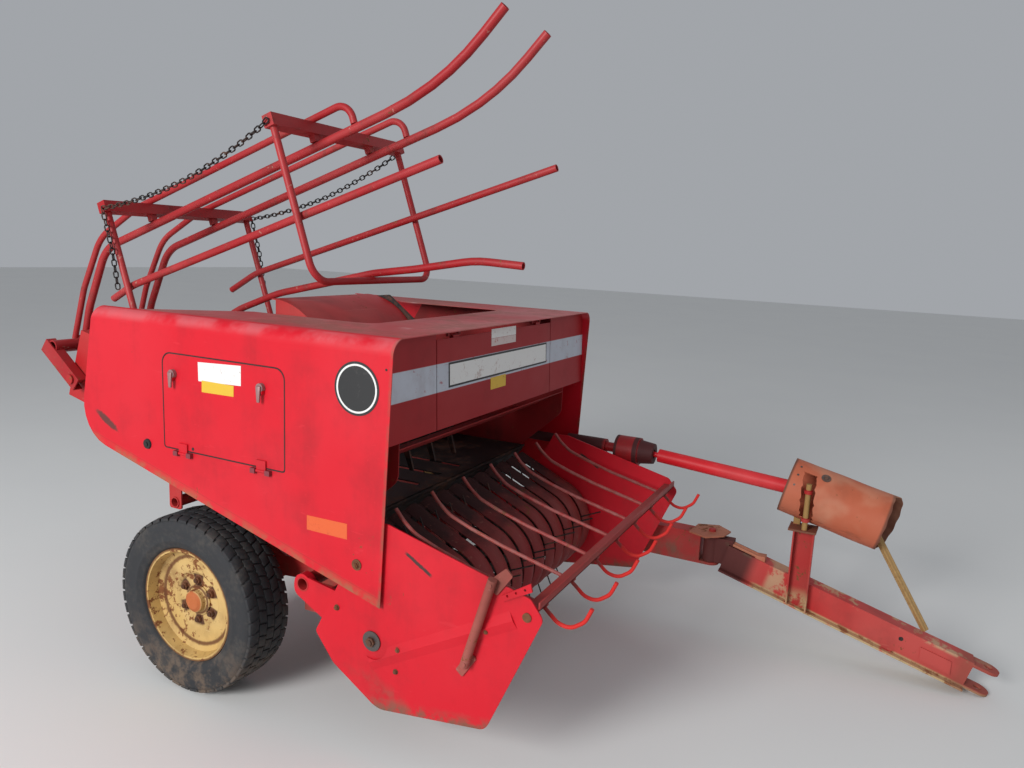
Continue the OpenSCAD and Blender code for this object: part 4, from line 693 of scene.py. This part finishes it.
# wheel nuts on the rims' studs
nutSpec = dict(count=6, circle=0.075, size=0.0135, start=0.7425, end=0.754)
for side, name in ((-1, "right"), (1, "left")):
    bm = bmesh.new()
    for k in range(nutSpec["count"]):
        a = radians(90 + 360 * k / nutSpec["count"])
        y, z = nutSpec["circle"] * cos(a), 0.330 + nutSpec["circle"] * sin(a)
        addRod(bm, at(side * (nutSpec["start"] - 0.002), y, z), at(side * nutSpec["start"], y, z), 0.019, 20)
        addRod(bm, at(side * nutSpec["start"], y, z), at(side * nutSpec["end"], y, z), nutSpec["size"], 6)
        addRod(bm, at(side * nutSpec["end"], y, z), at(side * (nutSpec["end"] + 0.005), y, z), 0.0085, 12)
    newPiece("wheelNuts_" + name, bm, "wheel_" + name, "nuts", smooth=35)

# overlay plate on the drawbar and a dark disc for its hole, painted shade of the hole; plate and latch rods over its
# pivot
def beamPoint(x, along, up):
    return at(x, -1.530 - along * cos(beamSlope) - up * sin(beamSlope), 0.368 - along * sin(beamSlope) + up * cos(beamSlope))


beamX = 0.710
bm = bmesh.new()
addPatch(bm, [(-2.395, 0.152), (-2.508, 0.121), (-2.508, 0.066), (-2.395, 0.098)], beamX, 0.006)
newPiece("beamOverlay", bm, "drawbar", "drawbar")
# dark disc: painted shade of the beam's hole
bm = bmesh.new()
addRod(bm, beamPoint(beamX - 0.0005, 0.818, 0.018), beamPoint(beamX + 0.001, 0.818, 0.018), 0.009, 20)
newPiece("beamHoleShade", bm, "drawbar", "dark", smooth=35)
bm = bmesh.new()
addPlate(bm, [(0.690, -1.440), (0.812, -1.452), (0.846, -1.540), (0.790, -1.604), (0.716, -1.588), (0.655, -1.520)], 0.4385, 0.4445, "z")
bmesh.ops.recalc_face_normals(bm, faces=bm.faces)
newPiece("pivotPlate", bm, "body", "pivotPlate")
bm = bmesh.new()
for x, low in ((0.722, 0.008), (0.742, 0.010)):
    addRod(bm, beamPoint(x, 0.085, 0.059 + low), beamPoint(x, 0.225, 0.059 + low), 0.007, 12)
addBox(bm, beamPoint(0.715, 0.235, 0.050), beamPoint(0.760, 0.200, 0.062) + Vector((0, 0.012, 0.012)), 0.002)
newPiece("latchRods", bm, "drawbar", "pivotPlate", smooth=35)

# washer bolt and rivets of the shaft guard
canSlope = radians(13.5)


def canPoint(along, turn, lift=0.0):
    reach = 0.118 + lift
    up = reach * sin(turn)
    return at(0.765 - reach * cos(turn), -1.820 - along * cos(canSlope) - up * sin(canSlope),
              0.712 - along * sin(canSlope) + up * cos(canSlope))


# rolled sheet of the guard: open ends, a ragged slot for the spindle and a longer far side
canSpec = dict(turns=72, slotTurn=radians(54), slot=(-1.889, -1.941), length=0.400, reach=0.050, wall=0.0035, cells=(5, 3, 14))


def canAlong(y, turn):
    return (-1.820 - y - 0.118 * sin(turn) * sin(canSlope)) / cos(canSlope)


def canColumn(turn):
    ragged = 0.0022 * sin(turn * 17) + 0.0016 * sin(turn * 29 + 1)
    end = canSpec["length"] + canSpec["reach"] * max(0.0, -cos(turn)) ** 0.7 + 0.0015 * sin(turn * 11)
    stops = [0.0, canAlong(canSpec["slot"][0], turn) + ragged, canAlong(canSpec["slot"][1], turn) - ragged, end]
    places = [stops[0]]
    for low, high, count in zip(stops, stops[1:], canSpec["cells"]):
        places += [low + (high - low) * (k + 1) / count for k in range(count)]
    return [canPoint(u, turn, 0.0012 * sin(u * 23 + turn * 2) * sin(turn * 3 + u * 9)) for u in places]


bm = bmesh.new()
turns = [2 * pi * i / canSpec["turns"] - pi for i in range(canSpec["turns"])]
columns = [[bm.verts.new(place) for place in canColumn(turn)] for turn in turns]
slotFrom, slotTo = canSpec["cells"][0], canSpec["cells"][0] + canSpec["cells"][1]
for i, turn in enumerate(turns):
    after = columns[(i + 1) % len(columns)]
    for k in range(len(after) - 1):
        if slotFrom <= k < slotTo and -canSpec["slotTurn"] <= turn < canSpec["slotTurn"]:
            continue
        bm.faces.new((columns[i][k], columns[i][k + 1], after[k + 1], after[k]))
bmesh.ops.recalc_face_normals(bm, faces=bm.faces)
bmesh.ops.solidify(bm, geom=bm.faces[:], thickness=canSpec["wall"])
bmesh.ops.recalc_face_normals(bm, faces=bm.faces)
newPiece("canShell", bm, "drawbar", "can", smooth=50, replaces=["shaft_guard"])

# dark sheet under the deck's front edge, behind the reel: painted shade standing in for the shaded ground seen between
# the bands
shadeSheetLine = [(-0.626, 0.727), (-0.613, 0.696), (-0.597, 0.676), (-0.566, 0.632), (-0.546, 0.592), (-0.531, 0.548)]
bm = bmesh.new()
rows = [[bm.verts.new(at(x, y, z)) for y, z in shadeSheetLine] for x in (-0.655, 0.655)]
for k in range(len(shadeSheetLine) - 1):
    bm.faces.new((rows[0][k], rows[0][k + 1], rows[1][k + 1], rows[1][k]))
bmesh.ops.solidify(bm, geom=bm.faces[:], thickness=-0.002)
bmesh.ops.recalc_face_normals(bm, faces=bm.faces)
newPiece("deckShadeSheet", bm, "body", "dark")

bm = bmesh.new()
turn = radians(58)
way = canPoint(0.135, turn, 0.01) - canPoint(0.135, turn)
addRod(bm, canPoint(0.135, turn), canPoint(0.135, turn, 0.003), 0.019, 24)
addBolt(bm, canPoint(0.135, turn, 0.003), way, 0.008)
for turn in (radians(20), radians(42), radians(64)):
    addRod(bm, canPoint(0.030, turn), canPoint(0.030, turn, 0.002), 0.0045, 12)
newPiece("canBolts", bm, "drawbar", "grey", smooth=35)

# chain of oval links along a hanging path in a plane of the chute
chainSpec = dict(ring=0.0078, wire=0.0025, stretch=1.55, pitch=0.0205)
chuteSlope = radians(19.3)


def chutePoint(x, forward, up):
    return at(x, 0.469 - forward * cos(chuteSlope) + up * sin(chuteSlope), 1.664 + forward * sin(chuteSlope) + up * cos(chuteSlope))


# rods of the chute as smooth bent tubes, in place of the faceted ones
rodSpec = dict(
    chute_main_rods=(0.015, 0.003, [([-0.520, -0.220], [(-0.5566, -0.307, 0), (-0.4777, -0.1945, 0.2), (-0.285, 0, 0.16),
                                                        (1.26, 0, 1.0), (1.464, 0.039, 0.8), (1.651, 0.133, 0)])]),
    chute_top_rods=(0.012, None, [([-0.520, -0.220], [(-0.622, -0.292, 0), (-0.480, -0.112, 0.2), (-0.300, 0.050, 0.2), (-0.060, 0.0903, 0.2),
                                                      (1.040, 0.0903, 0.055), (1.040, 0.0153, 0)])]),
    chute_side_rods=(0.013, 0.003, [([-0.6817], [(-0.103, -0.254, 0), (0.015, -0.236, 0.3), (1.407, -0.255, 0)]),
                                    ([-0.0583], [(-0.142, -0.226, 0), (0.022, -0.197, 0.3), (1.505, -0.244, 0)]),
                                    ([-0.390], [(0.010, -0.4417, 0), (0.194, -0.392, 0.4), (0.421, -0.388, 0.5), (0.869, -0.4387, 0.5),
                                                (1.041, -0.474, 0.5), (1.278, -0.514, 0.45), (1.439, -0.580, 0)])]))
chuteRoot = (0.900, 1.165)
for node, (radius, wall, ways) in rodSpec.items():
    bm = bmesh.new()
    for xs, corners in ways:
        for x in xs:
            addSweep(bm, [chutePoint(x, *p) for p in smoothLine(corners)], radius, 18, wall)
    if node == "chute_main_rods":
        addSweep(bm, [at(x, *chuteRoot) for x in (-0.660, -0.080)], 0.026, 28, 0.005, 0.2)
    if node == "chute_top_rods":
        y, z = chuteRoot
        for x in (-0.520, -0.220):
            addPlate(bm, [(y - 0.034 * cos(a), z - 0.034 * sin(a)) for a in (radians(-80 + 16 * k) for k in range(11))]
                     + [(y + 0.060, z - 0.034), (y + 0.075, z - 0.020), (y + 0.075, z + 0.020), (y + 0.065, z + 0.030)], x + 0.020, x + 0.028)
    bmesh.ops.recalc_face_normals(bm, faces=bm.faces)
    newPiece(node + "Smooth", bm, "chute", "chute", smooth=50, replaces=[node])

# wind guard with curved rods and hooks on an angle bar
guardSpec = dict(first=-0.700, pitch=0.208, rods=7, radius=0.0062, bar=(-1.367, -1.323), low=0.650, ends=(-0.767, 0.642))
guardLine = [(-1.497, 0.662, 0), (-1.478, 0.618, 0.05), (-1.434, 0.586, 0.05), (-1.394, 0.594, 0.05), (-1.345, 0.636, 0.05),
             (-1.100, 0.694, 0.3), (-0.985, 0.728, 0.25), (-0.900, 0.759, 0.12), (-0.856, 0.794, 0.1), (-0.828, 0.826, 0)]
bm = bmesh.new()
x0, x1 = guardSpec["ends"]
addBox(bm, at(x0, guardSpec["bar"][0], guardSpec["low"]), at(x1, guardSpec["bar"][1], guardSpec["low"] + 0.006), 0.0015)
addBox(bm, at(x0, guardSpec["bar"][0], guardSpec["low"]), at(x1, guardSpec["bar"][0] + 0.006, guardSpec["low"] + 0.024), 0.0015)
for x, away in ((x0, -1), (x1, 1)):
    addRod(bm, at(x - away * 0.033, -1.332, 0.632), at(x + away * 0.008, -1.332, 0.632), 0.008, 18)
    inside = x - away * 0.010
    addPlate(bm, [(-1.346, 0.622), (-1.336, 0.618), (-1.328, 0.618), (-1.318, 0.622), (-1.325, 0.6505), (-1.365, 0.6505)],
             min(x, inside), max(x, inside))
for i in range(guardSpec["rods"]):
    x = guardSpec["first"] + i * guardSpec["pitch"]
    addSweep(bm, [at(x, y, z) for y, z in smoothLine(guardLine)], guardSpec["radius"], 12)
    addBox(bm, at(x - 0.007, -1.362, 0.637), at(x + 0.007, -1.334, 0.6505), 0.0015)
bmesh.ops.recalc_face_normals(bm, faces=bm.faces)
newPiece("windGuardRods", bm, "guard", "guard", smooth=45, replaces=["wind_guard"])


def chainMesh(spec, paths):
    link = bmesh.new()
    ring = bmesh.ops.create_circle(link, segments=6, radius=spec["wire"])["verts"]
    bmesh.ops.rotate(link, cent=(0, 0, 0), matrix=Matrix.Rotation(pi / 2, 3, "X"), verts=ring)
    bmesh.ops.translate(link, vec=(spec["ring"], 0, 0), verts=ring)
    bmesh.ops.spin(link, geom=link.verts[:] + link.edges[:], cent=(0, 0, 0), axis=(0, 0, 1), angle=2 * pi, steps=12, use_merge=True)
    for v in link.verts:
        v.co.x += (spec["ring"] * (spec["stretch"] - 1)) * (1 if v.co.x > 0 else -1)
    bmesh.ops.recalc_face_normals(link, faces=link.faces)
    mesh = bpy.data.meshes.new("link")
    link.to_mesh(mesh)
    link.free()
    bm = bmesh.new()
    for path in paths:
        lengths = [(b - a).length for a, b in zip(path, path[1:])]
        count = int(sum(lengths) / spec["pitch"])
        for i in range(count):
            way = (i + 0.5) * sum(lengths) / count
            k = 0
            while way > lengths[k]:
                way -= lengths[k]
                k += 1
            along = (path[k + 1] - path[k]).normalized()
            before = len(bm.verts)
            bm.from_mesh(mesh)
            bm.verts.ensure_lookup_table()
            turn = Vector((1, 0, 0)).rotation_difference(along).to_matrix().to_4x4() @ Matrix.Rotation(pi / 4 + (i % 2) * pi / 2, 4, "X")
            bmesh.ops.transform(bm, matrix=Matrix.Translation(path[k] + along * way) @ turn, verts=bm.verts[before:])
    bpy.data.meshes.remove(mesh)
    return bm


sag = [(0.875, 0.058), (0.84, 0.046), (0.76, 0.031), (0.65, 0.017), (0.55, 0.008), (0.456, 0.004), (0.36, 0.007), (0.27, 0.013), (0.17, 0.024), (0.09, 0.037), (0.030, 0.050)]
drop = [(0.030, 0.050), (0.028, 0.0), (0.024, -0.100), (0.0, -0.245)]
chainX = [-0.370 - 0.3633, -0.370 + 0.3633]
newPiece("chuteChains", chainMesh(chainSpec, [[chutePoint(x, u, v) for u, v in way] for x in chainX for way in (sag, drop)]),
         "chute", "dark", smooth=60, replaces=["chute_chains"])
print("bolts and chains done")

# floor and light
floorSpec = dict(size=60, colour=(0.78, 0.78, 0.76))
floorMesh = bmesh.new()
bmesh.ops.create_grid(floorMesh, x_segments=1, y_segments=1, size=floorSpec["size"] / 2)
floorData = bpy.data.meshes.new("studioFloor")
floorMesh.to_mesh(floorData)
floorMesh.free()
floor = bpy.data.objects.new("studioFloor", floorData)
bpy.context.scene.collection.objects.link(floor)
r = Recipe("paleFloor")
floorData.materials.append(r.finish(r.mix(r.noise(0.8, 3), floorSpec["colour"], (0.74, 0.74, 0.73)), 0.9))

lightSpec = dict(sky=(0.90, 0.94, 1.0), skyLevel=0.40,
                 lamps=[("keyLamp", (-7.4, 1.5, 3.6), 2.6, 520), ("fillLamp", (2.5, -7.0, 4.5), 6.0, 50)])
world = bpy.data.worlds.new("studioSky")
bpy.context.scene.world = world
world.use_nodes = True
background = world.node_tree.nodes["Background"]
background.inputs["Color"].default_value = (*lightSpec["sky"], 1)
background.inputs["Strength"].default_value = lightSpec["skyLevel"]
for name, place, size, power in lightSpec["lamps"]:
    data = bpy.data.lights.new(name, "AREA")
    data.size, data.energy = size, power
    lamp = bpy.data.objects.new(name, data)
    lamp.location = place
    lamp.rotation_euler = (Vector((0, 0, 0.9)) - lamp.location).to_track_quat("-Z", "Y").to_euler()
    bpy.context.scene.collection.objects.link(lamp)
bpy.context.scene.view_settings.view_transform = "Standard"
print("light done")
